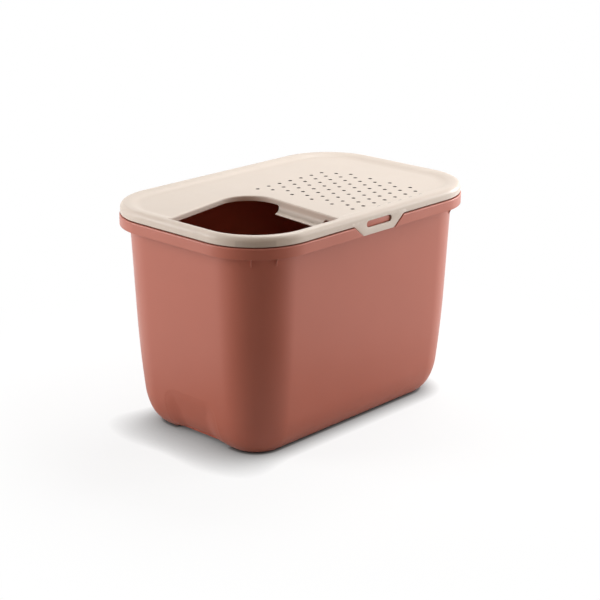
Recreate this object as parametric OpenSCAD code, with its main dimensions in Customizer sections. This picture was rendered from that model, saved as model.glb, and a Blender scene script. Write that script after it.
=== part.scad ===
/* [Rim] */
// Length of the tub's rim, along X
rim_l = 585; // [487:1:702]
// Width of the tub's rim, along Y
rim_w = 390; // [325:1:468]
// Height of the rim's flat top above the floor
rim_z = 376; // [300:1:460]
// Radius of the rim's corners, seen from above
rim_r = 112.5; // [104:0.5:135]
// Height of the rim's outer band
band_h = 18.5; // [15.5:0.5:22]
// How far the rim stands out past the top of the wall
rim_out = 16.8; // [15:0.1:20]
// Rounding along the rim's upper edges
rim_round = 1.8; // [0.5:0.1:2]

/* [Tub] */
// Thickness of the walls of both mouldings
wall_t = 2.5; // [2.1:0.1:3]
// Lean of the upper wall from upright, in degrees
wall_lean = 2.65; // [1.5:0.05:4]
// Height at which the wall starts to curve inwards
belly_z = 200; // [140:1:260]
// Radius of that long curve
belly_r = 2000; // [1600:10:4000]
// Height at which the roll into the base starts
roll_z = 60; // [45:1:75]
// Lean of the wall where the roll meets the floor, in degrees
base_lean = 58; // [45:1:68]
// Height of the floor plate above the floor
foot_h = 7.5; // [6:0.5:9]
// Width of the foot ring's flat edge
foot_w = 5; // [3:0.5:10]
// Width of the hand recess in each short side of the base
grip_w = 84; // [60:1:110]
// Height of the hand recess
grip_h = 72; // [55:1:90]
// Height of the gap left in the foot ring at a hand recess
grip_gap = 7; // [4:0.5:7.5]

/* [Corner ribs] */
// Angle of a corner's first stacking rib from the short side
rib_first = 40.5; // [20:0.5:45]
// Angle of its second stacking rib from the short side
rib_second = 65; // [50:0.5:75]
// Thickness of a stacking rib
rib_t = 2.4; // [1.6:0.1:4]
// How far the ribs reach below the rim's band
rib_drop = 16.5; // [8:0.5:24]

/* [Lid] */
// Step from the band's outer face in to the lid's skirt
lid_step = 1.5; // [0.5:0.1:2]
// Shadow gap between the rim's top and the skirt's lower edge
lid_gap = 1.5; // [0.5:0.1:2.5]
// Height of the lid's crest above the skirt's lower edge
lid_h = 17.5; // [14.5:0.5:26]
// Rounding along the lid's outer edge
lid_round = 8.5; // [5:0.1:8.5]
// Width of the level crest inside that rounding
crest_w = 2; // [0.5:0.5:3]
// Depth of the deck below the crest
dish_depth = 5.5; // [2:0.1:7]
// Width of the roll from the crest down to the deck
dish_roll = 28; // [16:1:34]
// Clearance between the tub's mouth and the lid's locating rib
fit_gap = 0.8; // [0.3:0.1:1.5]
// How far the locating rib reaches into the tub
locate_drop = 10; // [5:0.5:18]

/* [Entry] */
// Distance from the rim's outer face in to the entry, on its two outer sides
entry_in = 16; // [15:0.1:17.5]
// Length of the entry along X, to the far end of its dividing edge
entry_l = 232; // [205:1:250]
// Width of the entry along Y, to the far end of its dividing edge
entry_w = 246; // [215:1:260]
// How much narrower the entry is at the box's short side
far_slant = 51; // [20:1:70]
// How much shorter the entry is at the box's long side
divider_slant = 29; // [0:1:40]
// Radius of the entry's corner beside the short side
far_r = 13; // [8:1:30]
// Radius of the entry's corner at the far end of the dividing edge
middle_r = 56; // [40:1:62]
// Radius of the entry's corner at the near end of the dividing edge
near_r = 26; // [15:1:35]
// Depth of the wall round the entry, below the crest
entry_wall = 15.5; // [10:0.5:17]

/* [Divider lip] */
// Length of the deeper lip on the dividing edge
lip_l = 128; // [100:1:135]
// Distance from the dividing edge's near end to the lip
lip_start = 44; // [38:1:56]
// Depth of the lip's shelf below the crest
lip_drop = 26.5; // [24:0.5:34]
// How far the shelf reaches into the entry
lip_out = 20; // [14:0.5:26]
// Radius of the curve from the wall into the shelf
lip_r = 9; // [6:0.5:9]
// Length over which each end of the lip sweeps up
lip_sweep = 13; // [6:0.5:20]

/* [Drain holes] */
// Diameter of a drain hole
hole_d = 6.4; // [4:0.1:8]
// Distance between two rows of holes, along X
row_pitch = 13.8; // [11.5:0.1:16.6]
// Distance between two holes of a row, along Y
hole_pitch = 46.4; // [38:0.1:56]
// Distance from the dividing edge's far end to the first full row
field_start = 33; // [28:0.5:50]
// Distance from the last row to the rim's end
field_end = 124; // [90:1:150]
// Distance from the nearest holes to the rim's near side
field_near = 28; // [24:0.5:40]
// Width of the plain deck beyond the farthest holes
field_far = 129; // [100:1:150]
// Radius of the field's corners
field_r = 30; // [20:1:40]

/* [Clips] */
// Half the width of a clip where it leaves the skirt
clip_top = 63; // [52:0.5:75]
// Half the width of a clip at its lower edge
clip_low = 38.5; // [34:0.5:46]
// Rounding of a clip's lower corners
clip_r = 7; // [4:0.5:9]
// Fillet between a clip and the skirt's lower edge
clip_fillet = 8; // [4:0.5:10]
// Length of the window in a clip
window_l = 63; // [45:1:66]
// Height of the window in a clip
window_h = 11.5; // [9:0.5:12.5]
// Height of the bar under the window
bar_h = 12.5; // [10.5:0.5:14]
// Height of the strap between the window and the line where a clip flexes
strap_h = 1.5; // [1:0.1:2]
// Gap between a clip's edge and its pocket in the rim
pocket_gap = 1.2; // [0.6:0.1:1.4]
// Depth of that pocket from the band's outer face
pocket_depth = 6; // [5.5:0.1:8]
// Gap between a clip's inner face and the catch behind it
catch_gap = 0.35; // [0.3:0.05:0.8]
// Gap between the catch's outline and the window's
catch_margin = 1; // [0.5:0.1:2]

/* [Hidden] */
$fn = 72;
tub_color = [0.69, 0.45, 0.40];
lid_color = [0.91, 0.86, 0.79];
arc_steps = 8;

// How far a cutting shape runs past what it cuts, and how far two fused shapes reach into each other
over = 5;
step = 0.3;

// The centres of the rim's corners
corner_x = rim_l / 2 - rim_r;
corner_y = rim_w / 2 - rim_r;

// Levels of the rim, the lid and the clips
flange_z = rim_z - wall_t;
band_z = rim_z - band_h;
skirt_z = rim_z + lid_gap;
crest_z = skirt_z + lid_h;
deck_z = crest_z - dish_depth;
entry_z = crest_z - entry_wall;
shelf_z = crest_z - lip_drop;
window_z = band_z + bar_h + window_h / 2;
flex_z = band_z + bar_h + window_h + strap_h;

// The tub's wall: where its curves meet, and how far each point lies in from the rim's outer face
belly_in = rim_out + (flange_z - belly_z) * tan(wall_lean);
roll_lean = asin(sin(wall_lean) + (belly_z - roll_z) / belly_r);
roll_in = belly_in + belly_r * (cos(wall_lean) - cos(roll_lean));
roll_r = roll_z / (sin(base_lean) - sin(roll_lean));
foot_in = roll_in + roll_r * (cos(roll_lean) - cos(base_lean));
floor_z = foot_h + wall_t;
floor_lean = asin((roll_z + roll_r * sin(roll_lean) - floor_z) / (roll_r - wall_t));

// The lid's section, measured in from the rim's outer face
skirt_in = lid_step + wall_t;
round_in = lid_step + lid_round;
crest_in = round_in + crest_w;
deck_in = crest_in + dish_roll;
dish_r = (dish_depth * dish_depth + dish_roll * dish_roll) / (4 * dish_depth);
dish_turn = asin(dish_roll / 2 / dish_r);
seat_in = entry_in - wall_t;
locate_in = wall_in(rim_z - locate_drop) + wall_t / cos(wall_lean) + fit_gap;

// The entry's four corner points, from the box's near corner round
entry_x = entry_in - rim_l / 2;
entry_y = entry_in - rim_w / 2;
near_left = [entry_x, entry_y];
near_right = [entry_x + entry_l - divider_slant, entry_y];
far_right = [entry_x + entry_l, entry_y + entry_w];
far_left = [entry_x, entry_y + entry_w - far_slant];
entry_points = [near_left, near_right, far_right, far_left];
entry_radii = [rim_r - entry_in, near_r, middle_r, far_r];

// The drain holes' field
field_x0 = far_right.x + field_start;
field_x1 = rim_l / 2 - field_end;
field_y0 = field_near - rim_w / 2;
field_y1 = rim_w / 2 - field_far;

// How far past the field's edges a hole's centre may lie
slack = 1;

// Half the width of the piece of skirt that flexes with a clip
clip_end = clip_top + clip_fillet / 2;

// How far in the wall's outer face lies at a height: the lean above the belly, arcs below it
function wall_in(z) =
    z >= belly_z ? rim_out + (flange_z - z) * tan(wall_lean)
    : z >= roll_z ? arc_in(belly_z, belly_in, wall_lean, belly_r, z)
    : arc_in(roll_z, roll_in, roll_lean, roll_r, z);

function arc_in(z0, in0, lean, r, z) =
    in0 + r * (cos(lean) - sqrt(1 - pow(sin(lean) + (z0 - z) / r, 2)));

// Points of an arc of the wall between two leans, moved inwards by a thickness
function wall_arc(z0, in0, lean0, r, from, to, t, steps) =
    [for (i = [0:steps])
        let (a = from + (to - from) * i / steps)
        [in0 + r * (cos(lean0) - cos(a)) + t * cos(a), z0 - r * (sin(a) - sin(lean0)) + t * sin(a)]];

// The wall from its foot up to the top, moved inwards by a thickness
function wall_line(foot, t) = concat(
    wall_arc(roll_z, roll_in, roll_lean, roll_r, foot, roll_lean, t, arc_steps),
    wall_arc(belly_z, belly_in, wall_lean, belly_r, roll_lean, wall_lean, t, arc_steps / 2)
);

// The lid's roll from the crest down to the deck, two equal arcs, moved down by a thickness
function dish_line(t) = concat(
    [for (i = [0:arc_steps])
        let (a = dish_turn * i / arc_steps)
        [crest_in + (dish_r - t) * sin(a), crest_z - dish_r + (dish_r - t) * cos(a)]],
    [for (i = [1:arc_steps])
        let (a = dish_turn * (1 - i / arc_steps))
        [deck_in - (dish_r + t) * sin(a), deck_z + dish_r - (dish_r + t) * cos(a)]]
);

// Height of the lid's top face over the outer half of that roll
function roll_top(inset) =
    crest_z - dish_r + sqrt(pow(dish_r, 2) - pow(max(inset - crest_in, 0), 2));

// A quarter or other arc of points round a centre
function arc(c, r, from, to, steps = arc_steps) =
    [for (i = [0:steps])
        let (a = from + (to - from) * i / steps)
        c + r * [cos(a), sin(a)]];

function unit(v) = v / norm(v);
function cross_z(a, b) = a.x * b.y - a.y * b.x;

// One rounded corner of an outline: its centre, signed radius, first angle and turn
function corner(before, p, after, r) =
    let (
        a = unit(p - before),
        b = unit(after - p),
        turn = atan2(cross_z(a, b), a * b),
        side = sign(turn),
        centre = p - a * r * tan(abs(turn) / 2) + side * r * [-a.y, a.x]
    )
    [centre, side * r, atan2(-a.x, a.y), turn];

function corner_of(points, radii, i) =
    let (n = len(points))
    corner(points[(i + n - 1) % n], points[i], points[(i + 1) % n], radii[i]);

// Points of an outline with rounded corners, moved outwards by a distance
function rounded(points, radii, d, steps) =
    [for (i = [0:len(points) - 1])
        let (c = corner_of(points, radii, i))
        each arc(c[0], c[1] + d, c[2], c[2] + c[3], steps)];

// A point of a section: how far in from the rim's outer face, and how high
function spot(p) = [rim_r - p.x, p.y];
function section(points) = [for (p = points) spot(p)];

// The tub's section: wall, rim turned over into its band, floor plate and foot ring
tub_section = section(concat(
    wall_line(base_lean, 0),
    [[rim_out, flange_z], [wall_t, flange_z], [wall_t, band_z], [0, band_z]],
    arc([rim_round, rim_z - rim_round], rim_round, 180, 90),
    [[wall_in(rim_z) + wall_t / cos(wall_lean), rim_z]],
    [for (i = [len(wall_line(floor_lean, wall_t)) - 1:-1:0]) wall_line(floor_lean, wall_t)[i]],
    [[rim_r, floor_z], [rim_r, foot_h], [foot_in + foot_w, foot_h], [foot_in + foot_w, 0]]
));

// The space under the tub's outer face, as one filled section
tub_filled = section(concat(
    wall_line(base_lean, 0),
    [[rim_out, flange_z], [rim_r, flange_z], [rim_r, 0]]
));

// The lid's section from its skirt to the deck, filled down to the skirt's lower edge
lid_filled = section(concat(
    [[rim_r, skirt_z], [lid_step, skirt_z]],
    arc([round_in, crest_z - lid_round], lid_round, 180, 90),
    dish_line(0),
    [[rim_r, deck_z]]
));

// The hollow under the lid's skin
lid_hollow = section(concat(
    [[rim_r, skirt_z - over], [skirt_in, skirt_z - over]],
    arc([round_in, crest_z - lid_round], lid_round - wall_t, 180, 90),
    dish_line(wall_t),
    [[rim_r, deck_z - wall_t]]
));

// A clip's outline, from its flex line down to its lower edge, moved outwards by a gap
function clip_outline(gap) =
    rounded(
        [
            [-clip_end, flex_z + over], [-clip_end, skirt_z], [-clip_top, skirt_z], [-clip_low, band_z],
            [clip_low, band_z], [clip_top, skirt_z], [clip_end, skirt_z], [clip_end, flex_z + over]
        ],
        [0, 0, clip_fillet, clip_r, clip_r, clip_fillet, 0, 0], gap, arc_steps
    );

// Carries a section round the box, with its x measured from each corner's centre
module around() {
    for (i = [0:3]) {
        turned = i % 2;
        translate([i == 0 || i == 3 ? corner_x : -corner_x, i < 2 ? corner_y : -corner_y])
            rotate(90 * i)
            rotate_extrude(angle = 90)
            children();
        rotate(90 * i)
            translate([turned == 0 ? corner_x : corner_y, turned == 0 ? corner_y : corner_x])
            rotate([90, 0, 0])
            linear_extrude(2 * (turned == 0 ? corner_y : corner_x))
            children();
    }
}

// Fills the rectangle between the corners' centres
module middle(from, to) {
    translate([-corner_x, -corner_y, from])
        cube([2 * corner_x, 2 * corner_y, to - from]);
}

// Places what is drawn for the front long side on both long sides
module both_long_sides() {
    for (turn = [0, 180])
        rotate(turn)
        children();
}

// Gives an upright outline on the front long side a thickness, between two insets
module slice(from, to) {
    translate([0, to - rim_w / 2, 0])
        rotate([90, 0, 0])
        linear_extrude(to - from)
        children();
}

// A slot's outline with round ends
module stadium(l, h) {
    square([l - h, h], center = true);
    for (side = [-1, 1])
        translate([side * (l - h) / 2, 0])
        circle(d = h);
}

// The entry as a solid between two heights, moved outwards by a distance
module entry_prism(d, from, to) {
    translate([0, 0, from])
        linear_extrude(to - from)
        polygon(rounded(entry_points, entry_radii, d, 2 * arc_steps));
}

// A shallow scoop in each short side, drawn as a round bar whose inmost line is a chord of the wall
module hand_scoop(grow) {
    low = [wall_in(grip_gap), grip_gap];
    high = [wall_in(grip_h), grip_h];
    mid = (low + high) / 2;
    span = high - low;
    deep = chord_depth(mid, span);
    r = (pow(grip_w / 2, 2) + pow(deep, 2)) / (2 * deep);
    centre = mid + r * [-span.y, span.x] / norm(span);
    for (turn = [0, 180])
        rotate(turn)
        translate([centre.x - rim_l / 2, 0, centre.y])
        rotate([0, atan2(span.x, span.y), 0])
        cylinder(r = r + grow, h = 3 * grip_h, center = true, $fn = 180);
}

// How deep the wall's curve stands out past a chord of it, on the line square to the chord
function chord_depth(mid, span, low = 0, high = 40, n = 24) =
    n == 0 ? low
    : let (
        at = (low + high) / 2,
        p = mid + at * [-span.y, span.x] / norm(span)
    )
    p.x > wall_in(p.y) ? chord_depth(mid, span, at, high, n - 1) : chord_depth(mid, span, low, at, n - 1);

// One pair of stacking ribs at each corner, tapering from the rim's band down to the wall
module corner_ribs() {
    low_z = band_z - rib_drop;
    for (sx = [-1, 1], sy = [-1, 1], a = [rib_first, rib_second])
        translate([sx * corner_x, sy * corner_y])
        rotate(atan2(sy * sin(a), sx * cos(a)))
        rotate([90, 0, 0])
        translate([0, 0, -rib_t / 2])
        linear_extrude(rib_t)
        polygon(section([
            [wall_in(low_z), low_z], [wall_in(low_z) + wall_t / 2, low_z],
            [rim_out + wall_t / 2, flange_z + wall_t / 2],
            [wall_t / 2, flange_z + wall_t / 2], [wall_t, flange_z - wall_t]
        ]));
}

// The walls of the pocket that a clip sits in, and the catch behind its window
module clip_pocket() {
    slice(0, pocket_depth + wall_t)
        intersection() {
            polygon(clip_outline(pocket_gap + wall_t));
            translate([-rim_l / 2, band_z])
                square([rim_l, rim_z - band_z]);
        }
}

module catch() {
    slice(skirt_in + catch_gap, pocket_depth + wall_t)
        translate([0, window_z])
        stadium(window_l - 2 * catch_margin, window_h - 2 * catch_margin);
}

module tub() {
    color(tub_color) {
        difference() {
            union() {
                around()
                    polygon(tub_section);
                middle(foot_h, floor_z);
                intersection() {
                    hand_scoop(wall_t);
                    union() {
                        around()
                            polygon(tub_filled);
                        middle(0, flange_z);
                    }
                }
                corner_ribs();
                both_long_sides()
                    clip_pocket();
            }
            hand_scoop(0);
            for (turn = [0, 180])
                rotate(turn)
                translate([-rim_l / 2, -grip_w / 2, -over])
                cube([foot_in + foot_w + over, grip_w, over + grip_gap]);
            both_long_sides()
                slice(-over, pocket_depth)
                polygon(clip_outline(pocket_gap));
        }
        both_long_sides()
            catch();
    }
}

// The lid's outer shape, filled down to its skirt's lower edge
module lid_block() {
    around()
        polygon(lid_filled);
    middle(skirt_z, deck_z);
}

// An upright rib that follows the rim, from a height up into the lid's skin
module ring_rib(inset, from, t) {
    around()
        polygon(section([
            [inset, from], [inset + t, from],
            [inset + t, roll_top(inset + t) - wall_t / 2],
            [inset, roll_top(inset) - wall_t / 2]
        ]));
}

// The deeper lip on the dividing edge: the wall runs down and curves out into a shelf
module divider_lip() {
    along = far_right - near_right;
    sweep_h = entry_z - shelf_z;
    sweep = [for (i = [0:2 * arc_steps])
        let (f = i / (2 * arc_steps))
        [lip_sweep * (1 + cos(180 * f)) / 2, shelf_z + sweep_h * f]];
    translate(near_right)
        rotate(atan2(along.y, along.x))
        translate([lip_start, -step, 0])
        intersection() {
            rotate([90, 0, 90])
                linear_extrude(lip_l) {
                    polygon(concat(
                        [[0, deck_z - wall_t / 2]],
                        arc([lip_r, shelf_z + lip_r], lip_r, 180, 270),
                        [[lip_out - wall_t / 2, shelf_z], [lip_out - wall_t / 2, shelf_z - wall_t]],
                        arc([lip_r, shelf_z + lip_r], lip_r + wall_t, 270, 180),
                        [[-wall_t, deck_z - wall_t / 2]]
                    ));
                    translate([lip_out - wall_t / 2, shelf_z - wall_t / 2])
                        circle(d = wall_t);
                }
            translate([0, lip_out + over, 0])
                rotate([90, 0, 0])
                linear_extrude(lip_out + 2 * over)
                polygon(concat(
                    [[lip_sweep, shelf_z - over]],
                    sweep,
                    [[0, crest_z], [lip_l, crest_z]],
                    [for (i = [len(sweep) - 1:-1:0]) [lip_l - sweep[i].x, sweep[i].y]],
                    [[lip_l - lip_sweep, shelf_z - over]]
                ));
        }
}

// Whether a hole at this place lies in the field, with its round corners
function in_field(p) =
    let (
        flare = p.y > field_y1 - hole_pitch / 2 + slack ? row_pitch : 0,
        left = p.y < field_y0 + field_r ? field_x0 - slack + field_r - p.x : 0,
        right = p.x - field_x1 + field_r,
        dx = max(left, right, 0),
        dy = max(field_y0 + field_r - p.y, p.y - field_y1 + field_r, 0)
    )
    p.x > field_x0 - flare - slack && norm([dx, dy]) < field_r + slack;

module drain_holes() {
    rows = floor((field_x1 - field_x0) / row_pitch);
    columns = floor((field_y1 - field_y0) / (hole_pitch / 2));
    for (i = [-1:rows], j = [0:columns]) {
        p = [field_x0 + i * row_pitch, field_y0 + j * hole_pitch / 2];
        if ((i + j) % 2 != 0 && in_field(p))
            translate([p.x, p.y, skirt_z])
            cylinder(d = hole_d, h = lid_h + over);
    }
}

module lid() {
    color(lid_color) {
        difference() {
            union() {
                difference() {
                    lid_block();
                    around()
                        polygon(lid_hollow);
                    middle(skirt_z - over, deck_z - wall_t);
                }
                ring_rib(locate_in, rim_z - locate_drop, wall_t);
                ring_rib(seat_in - step, rim_z, wall_t + 2 * step);
                intersection() {
                    lid_block();
                    entry_prism(wall_t, entry_z, crest_z);
                }
            }
            entry_prism(0, rim_z - locate_drop - over, crest_z + over);
            drain_holes();
            both_long_sides()
                slice(-over, skirt_in + wall_t / 2)
                translate([-clip_end, skirt_z - over])
                square([2 * clip_end, flex_z - skirt_z + over]);
        }
        divider_lip();
    }
}

// A clip: the tab that hangs from the skirt over the rim's band, with its window
module clip() {
    color(lid_color)
        slice(lid_step, skirt_in)
        difference() {
            intersection() {
                polygon(clip_outline(0));
                translate([-clip_end, band_z - over])
                    square([2 * clip_end, flex_z - band_z + over]);
            }
            translate([0, window_z])
                stadium(window_l, window_h);
        }
}

module front_clip() {
    clip();
}

module back_clip() {
    rotate(180)
        clip();
}

tub();
lid();
front_clip();
back_clip();
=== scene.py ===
"""Builds the looks of a top entry litter box round its fixed frame.

Every moulding is a surface worked out with numpy: a section carried round the rim, or round the
entry, and flat plates whose outlines are the edges of those surfaces. The sizes are in metres.
"""

import math

import bmesh
import bpy
import numpy as np
from mathutils import Matrix, Vector
from mathutils.geometry import delaunay_2d_cdt


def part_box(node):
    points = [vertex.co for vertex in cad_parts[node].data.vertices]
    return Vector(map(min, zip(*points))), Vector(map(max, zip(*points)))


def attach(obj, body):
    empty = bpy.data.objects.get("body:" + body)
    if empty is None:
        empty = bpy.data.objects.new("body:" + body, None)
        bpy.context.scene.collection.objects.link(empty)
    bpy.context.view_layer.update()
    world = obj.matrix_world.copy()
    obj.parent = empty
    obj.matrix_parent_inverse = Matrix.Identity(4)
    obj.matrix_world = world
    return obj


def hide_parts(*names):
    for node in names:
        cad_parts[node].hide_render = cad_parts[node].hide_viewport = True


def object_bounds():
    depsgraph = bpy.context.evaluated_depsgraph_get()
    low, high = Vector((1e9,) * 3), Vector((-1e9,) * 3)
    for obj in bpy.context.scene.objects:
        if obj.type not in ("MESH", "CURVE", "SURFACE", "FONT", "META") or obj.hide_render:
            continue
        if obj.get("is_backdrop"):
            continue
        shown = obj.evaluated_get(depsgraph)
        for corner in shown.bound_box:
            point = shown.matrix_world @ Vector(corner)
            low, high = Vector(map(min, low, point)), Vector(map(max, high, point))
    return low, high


bl_info = {
    "name": "Top entry litter box",
    "version": (1, 0, 0),
    "blender": (4, 5, 0),
    "location": "3D View > Sidebar > Litter box",
    "description": "Builds a lidded litter box with a corner entry and its studio stage",
    "category": "Object",
}

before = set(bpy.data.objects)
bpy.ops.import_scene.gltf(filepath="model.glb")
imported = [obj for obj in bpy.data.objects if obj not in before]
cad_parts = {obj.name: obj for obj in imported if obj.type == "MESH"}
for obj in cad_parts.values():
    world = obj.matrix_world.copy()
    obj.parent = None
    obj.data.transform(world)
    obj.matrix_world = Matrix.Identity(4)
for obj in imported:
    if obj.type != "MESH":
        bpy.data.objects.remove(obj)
CAD_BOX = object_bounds()
TUB_LOW, TUB_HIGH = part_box("tub")

MM = 0.001
TINY = 0.02 * MM
HALF_TURN = math.pi
WHITE = (1, 1, 1)


def srgb(red, green, blue):
    """A colour given as it is seen, 0 to 255, as the light that it sends back, 0 to 1."""
    seen = np.array([red, green, blue]) / 255
    sent = np.where(seen <= 0.04045, seen / 12.92, ((seen + 0.055) / 1.055) ** 2.4)
    return tuple(float(c) for c in sent)


def size(label, what, mm, low, high):
    """A length that a user may change, given here in millimetres."""
    return bpy.props.FloatProperty(
        name=label, description=what, default=mm * MM, min=low * MM, max=high * MM,
        unit="LENGTH", precision=4,
    )


def angle(label, what, degrees, low, high):
    """An angle that a user may change, given here in degrees."""
    return bpy.props.FloatProperty(
        name=label, description=what, default=math.radians(degrees),
        min=math.radians(low), max=math.radians(high), unit="ROTATION",
    )


def share(label, what, value, low=0.0, high=1.0):
    """A plain number that a user may change."""
    return bpy.props.FloatProperty(
        name=label, description=what, default=value, min=low, max=high, subtype="FACTOR",
    )


def colour(label, what, seen):
    """A colour that a user may change."""
    return bpy.props.FloatVectorProperty(
        name=label, description=what, default=srgb(*seen), min=0, max=1, size=3, subtype="COLOR",
    )


class TubSizes(bpy.types.PropertyGroup):
    """Sizes of the tub moulding."""

    height: size("Height", "Height of the rim above the floor", 376, 313, 451)
    corner: size("Rim corner", "Radius of the rim's corners, seen from above", 112.5, 104, 135)
    wall: size("Wall", "Thickness of the walls of both mouldings", 2.5, 2.1, 3)
    band: size("Band", "Height of the rim's outer band", 18.5, 15.5, 22)
    rim_out: size("Rim overhang", "How far the rim stands out past the wall", 16.8, 15, 20)
    rim_round: size("Rim rounding", "Rounding of the rim's upper edge", 1.8, 0.5, 2)
    lean: angle("Wall lean", "Lean of the upper wall from upright", 2.65, 1.5, 4)
    belly: size("Belly height", "Height at which the wall starts to curve inwards", 200, 140, 260)
    belly_radius: size("Belly radius", "Radius of that long curve", 2000, 1600, 4000)
    undercut: size("Undercut", "Height of the wall's lower edge above the floor", 3.6, 1.5, 4.5)
    fullness: size("Fullness", "How far the roll bulges past its arc near the floor", 3.5, 0, 7)
    roll: size("Roll height", "Height at which the roll into the base starts", 60, 45, 75)
    base_lean: angle("Base lean", "Lean of the wall where the roll meets the floor", 58, 45, 68)
    foot: size("Foot height", "Height of the floor plate above the floor", 7.5, 6, 9)
    foot_edge: size("Foot edge", "Width of the foot ring's flat edge", 5, 3, 10)
    grip: size("Hand recess width", "Width of the recess in each short side", 126, 84, 140)
    grip_high: size("Hand recess height", "Height of that recess", 86, 72, 110)
    grip_corner: size("Hand recess corner", "Radius of the recess's upper corners", 27, 10, 40)
    grip_deep: size("Hand recess depth", "How far the recess is pressed in at the floor", 7, 3, 9)
    grip_shallow: size("Hand recess upper depth", "Depth at its upper edge", 3, 0.5, 4)
    grip_gap: size("Hand recess gap", "Gap left in the foot ring at the recess", 7, 4, 7.5)
    rib_first: angle("First rib", "A corner's first rib, from the short side", 40.5, 20, 45)
    rib_second: angle("Second rib", "A corner's second rib, from the short side", 65, 50, 75)
    rib: size("Rib thickness", "Thickness of a stacking rib", 2.4, 1.6, 4)
    rib_drop: size("Rib drop", "How far a rib reaches below the band", 16.5, 8, 24)


class LidSizes(bpy.types.PropertyGroup):
    """Sizes of the lid moulding."""

    step: size("Skirt step", "Step from the band's face in to the lid's skirt", 1.5, 0.5, 2)
    gap: size("Shadow gap", "Gap between the rim and the skirt's lower edge", 2, 0.5, 2.5)
    height: size("Height", "Height of the crest above the skirt's lower edge", 17, 14.5, 26)
    rounding: size("Edge rounding", "Rounding along the outer edge", 8.5, 5, 8.5)
    crest: size("Crest", "Width of the level crest", 2, 0.5, 3)
    dish: size("Dish depth", "Depth of the deck below the crest", 5.5, 2, 7)
    dish_roll: size("Dish roll", "Width of the roll from the crest to the deck", 28, 16, 34)
    fit: size("Fit", "Clearance between the tub's mouth and the locating rib", 0.8, 0.3, 1.5)
    locate: size("Locating rib", "How far the locating rib reaches into the tub", 10, 5, 18)


class EntrySizes(bpy.types.PropertyGroup):
    """Sizes of the entry in the lid and of the lip on its dividing edge."""

    inset: size("Inset", "From the rim's face to the entry's outer sides", 16, 15, 17.5)
    length: size("Length", "Length along the box", 232, 205, 250)
    width: size("Width", "Width across the box", 253, 215, 260)
    far_slant: size("Far slant", "How much narrower it is at the short side", 45, 20, 70)
    near_slant: size("Near slant", "How much shorter it is at the long side", 29, 0, 40)
    far_corner: size("Far corner", "Radius of the corner beside the short side", 13, 8, 30)
    middle_corner: size("Middle corner", "Radius of the corner in the deck", 56, 40, 62)
    near_corner: size("Near corner", "Radius of the corner beside the long side", 26, 15, 35)
    wall: size("Wall depth", "Depth of the wall round the entry below the crest", 15.5, 10, 17)
    lip_length: size("Lip length", "Length of the deeper lip", 124, 100, 135)
    lip_start: size("Lip start", "From the dividing edge's near end to the lip", 44, 38, 56)
    lip_drop: size("Lip drop", "Depth of the lip's shelf below the crest", 24.5, 22, 34)
    lip_out: size("Lip reach", "How far the shelf reaches into the entry", 16, 13, 26)
    lip_radius: size("Lip curve", "Radius of the curve into the shelf", 9, 6, 9)
    lip_sweep: size("Lip sweep", "Length over which each end sweeps up", 13, 6, 20)


class HoleSizes(bpy.types.PropertyGroup):
    """Sizes of the field of drain holes."""

    diameter: size("Diameter", "Diameter of a drain hole", 6.8, 4, 8)
    row: size("Row pitch", "Distance between two rows", 13.8, 11.5, 16.6)
    pitch: size("Hole pitch", "Distance between two holes of a row", 46.4, 38, 56)
    start: size("Field start", "From the dividing edge to the first full row", 33, 28, 50)
    end: size("Field end", "From the last row to the rim's end", 124, 90, 150)
    near: size("Field near", "From the nearest holes to the rim's near side", 28, 24, 40)
    far: size("Field far", "Plain deck beyond the farthest holes", 129, 100, 150)
    corner: size("Field corner", "Radius of the field's corners", 30, 20, 40)
    rounding: size("Hole rounding", "Rounding of a hole's upper edge", 0.5, 0.2, 1)


class ClipSizes(bpy.types.PropertyGroup):
    """Sizes of the two clips and of their pockets in the rim."""

    top: size("Top", "Half the width where it leaves the skirt", 63, 52, 75)
    low: size("Low", "Half the width at its lower edge", 38.5, 34, 46)
    corner: size("Corner", "Rounding of the lower corners", 7, 4, 9)
    fillet: size("Fillet", "Fillet between the clip and the skirt", 8, 4, 10)
    window: size("Window length", "Length of the window", 63, 45, 66)
    window_high: size("Window height", "Height of the window", 11.5, 9, 12.5)
    bar: size("Bar", "Height of the bar under the window", 12.5, 10.5, 14)
    strap: size("Strap", "Height of the strap above the window", 1.5, 1, 2)
    pocket_gap: size("Pocket gap", "Gap between the clip and its pocket", 1.2, 0.6, 1.4)
    pocket: size("Pocket depth", "Depth of the pocket from the band's face", 6, 5.5, 8)
    catch_gap: size("Catch gap", "Gap between the clip and the catch", 0.35, 0.3, 0.8)
    catch_margin: size("Catch margin", "Gap between the catch and the window", 1, 0.5, 2)
    edge: size("Edge rounding", "Rounding of thin moulded edges", 0.6, 0.2, 1)


class Finishes(bpy.types.PropertyGroup):
    """Colours and finish of the two plastics."""

    tub: colour("Tub", "Colour of the tub's plastic", (186, 107, 88))
    lid: colour("Lid", "Colour of the lid's plastic", (214, 200, 187))
    tub_gloss: share("Tub roughness", "Roughness of the tub's satin face", 0.34)
    lid_gloss: share("Lid roughness", "Roughness of the lid's satin face", 0.42)
    grain: size("Grain", "Size of the fine moulded grain", 0.7, 0.3, 3)


class StageSizes(bpy.types.PropertyGroup):
    """The camera's place and the strength of the lamps."""

    azimuth: angle("Azimuth", "Which way the camera looks, 0 along +Y", -46.86, -180, 180)
    elevation: angle("Elevation", "Height of the camera above the horizon", 18.35, 0, 90)
    tilt: angle("Tilt", "Turn of the camera about its own line of sight", 0.21, -5, 5)
    distance: size("Distance", "From the camera to the point it looks at", 2794.81, 500, 9000)
    lens: bpy.props.FloatProperty(
        name="Lens", description="Focal length on a 36 mm sensor", default=94.63, min=20, max=300,
        unit="CAMERA",
    )
    ambient: share("Ambient", "Strength of the even light from all round", 0.02, 0, 4)


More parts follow.
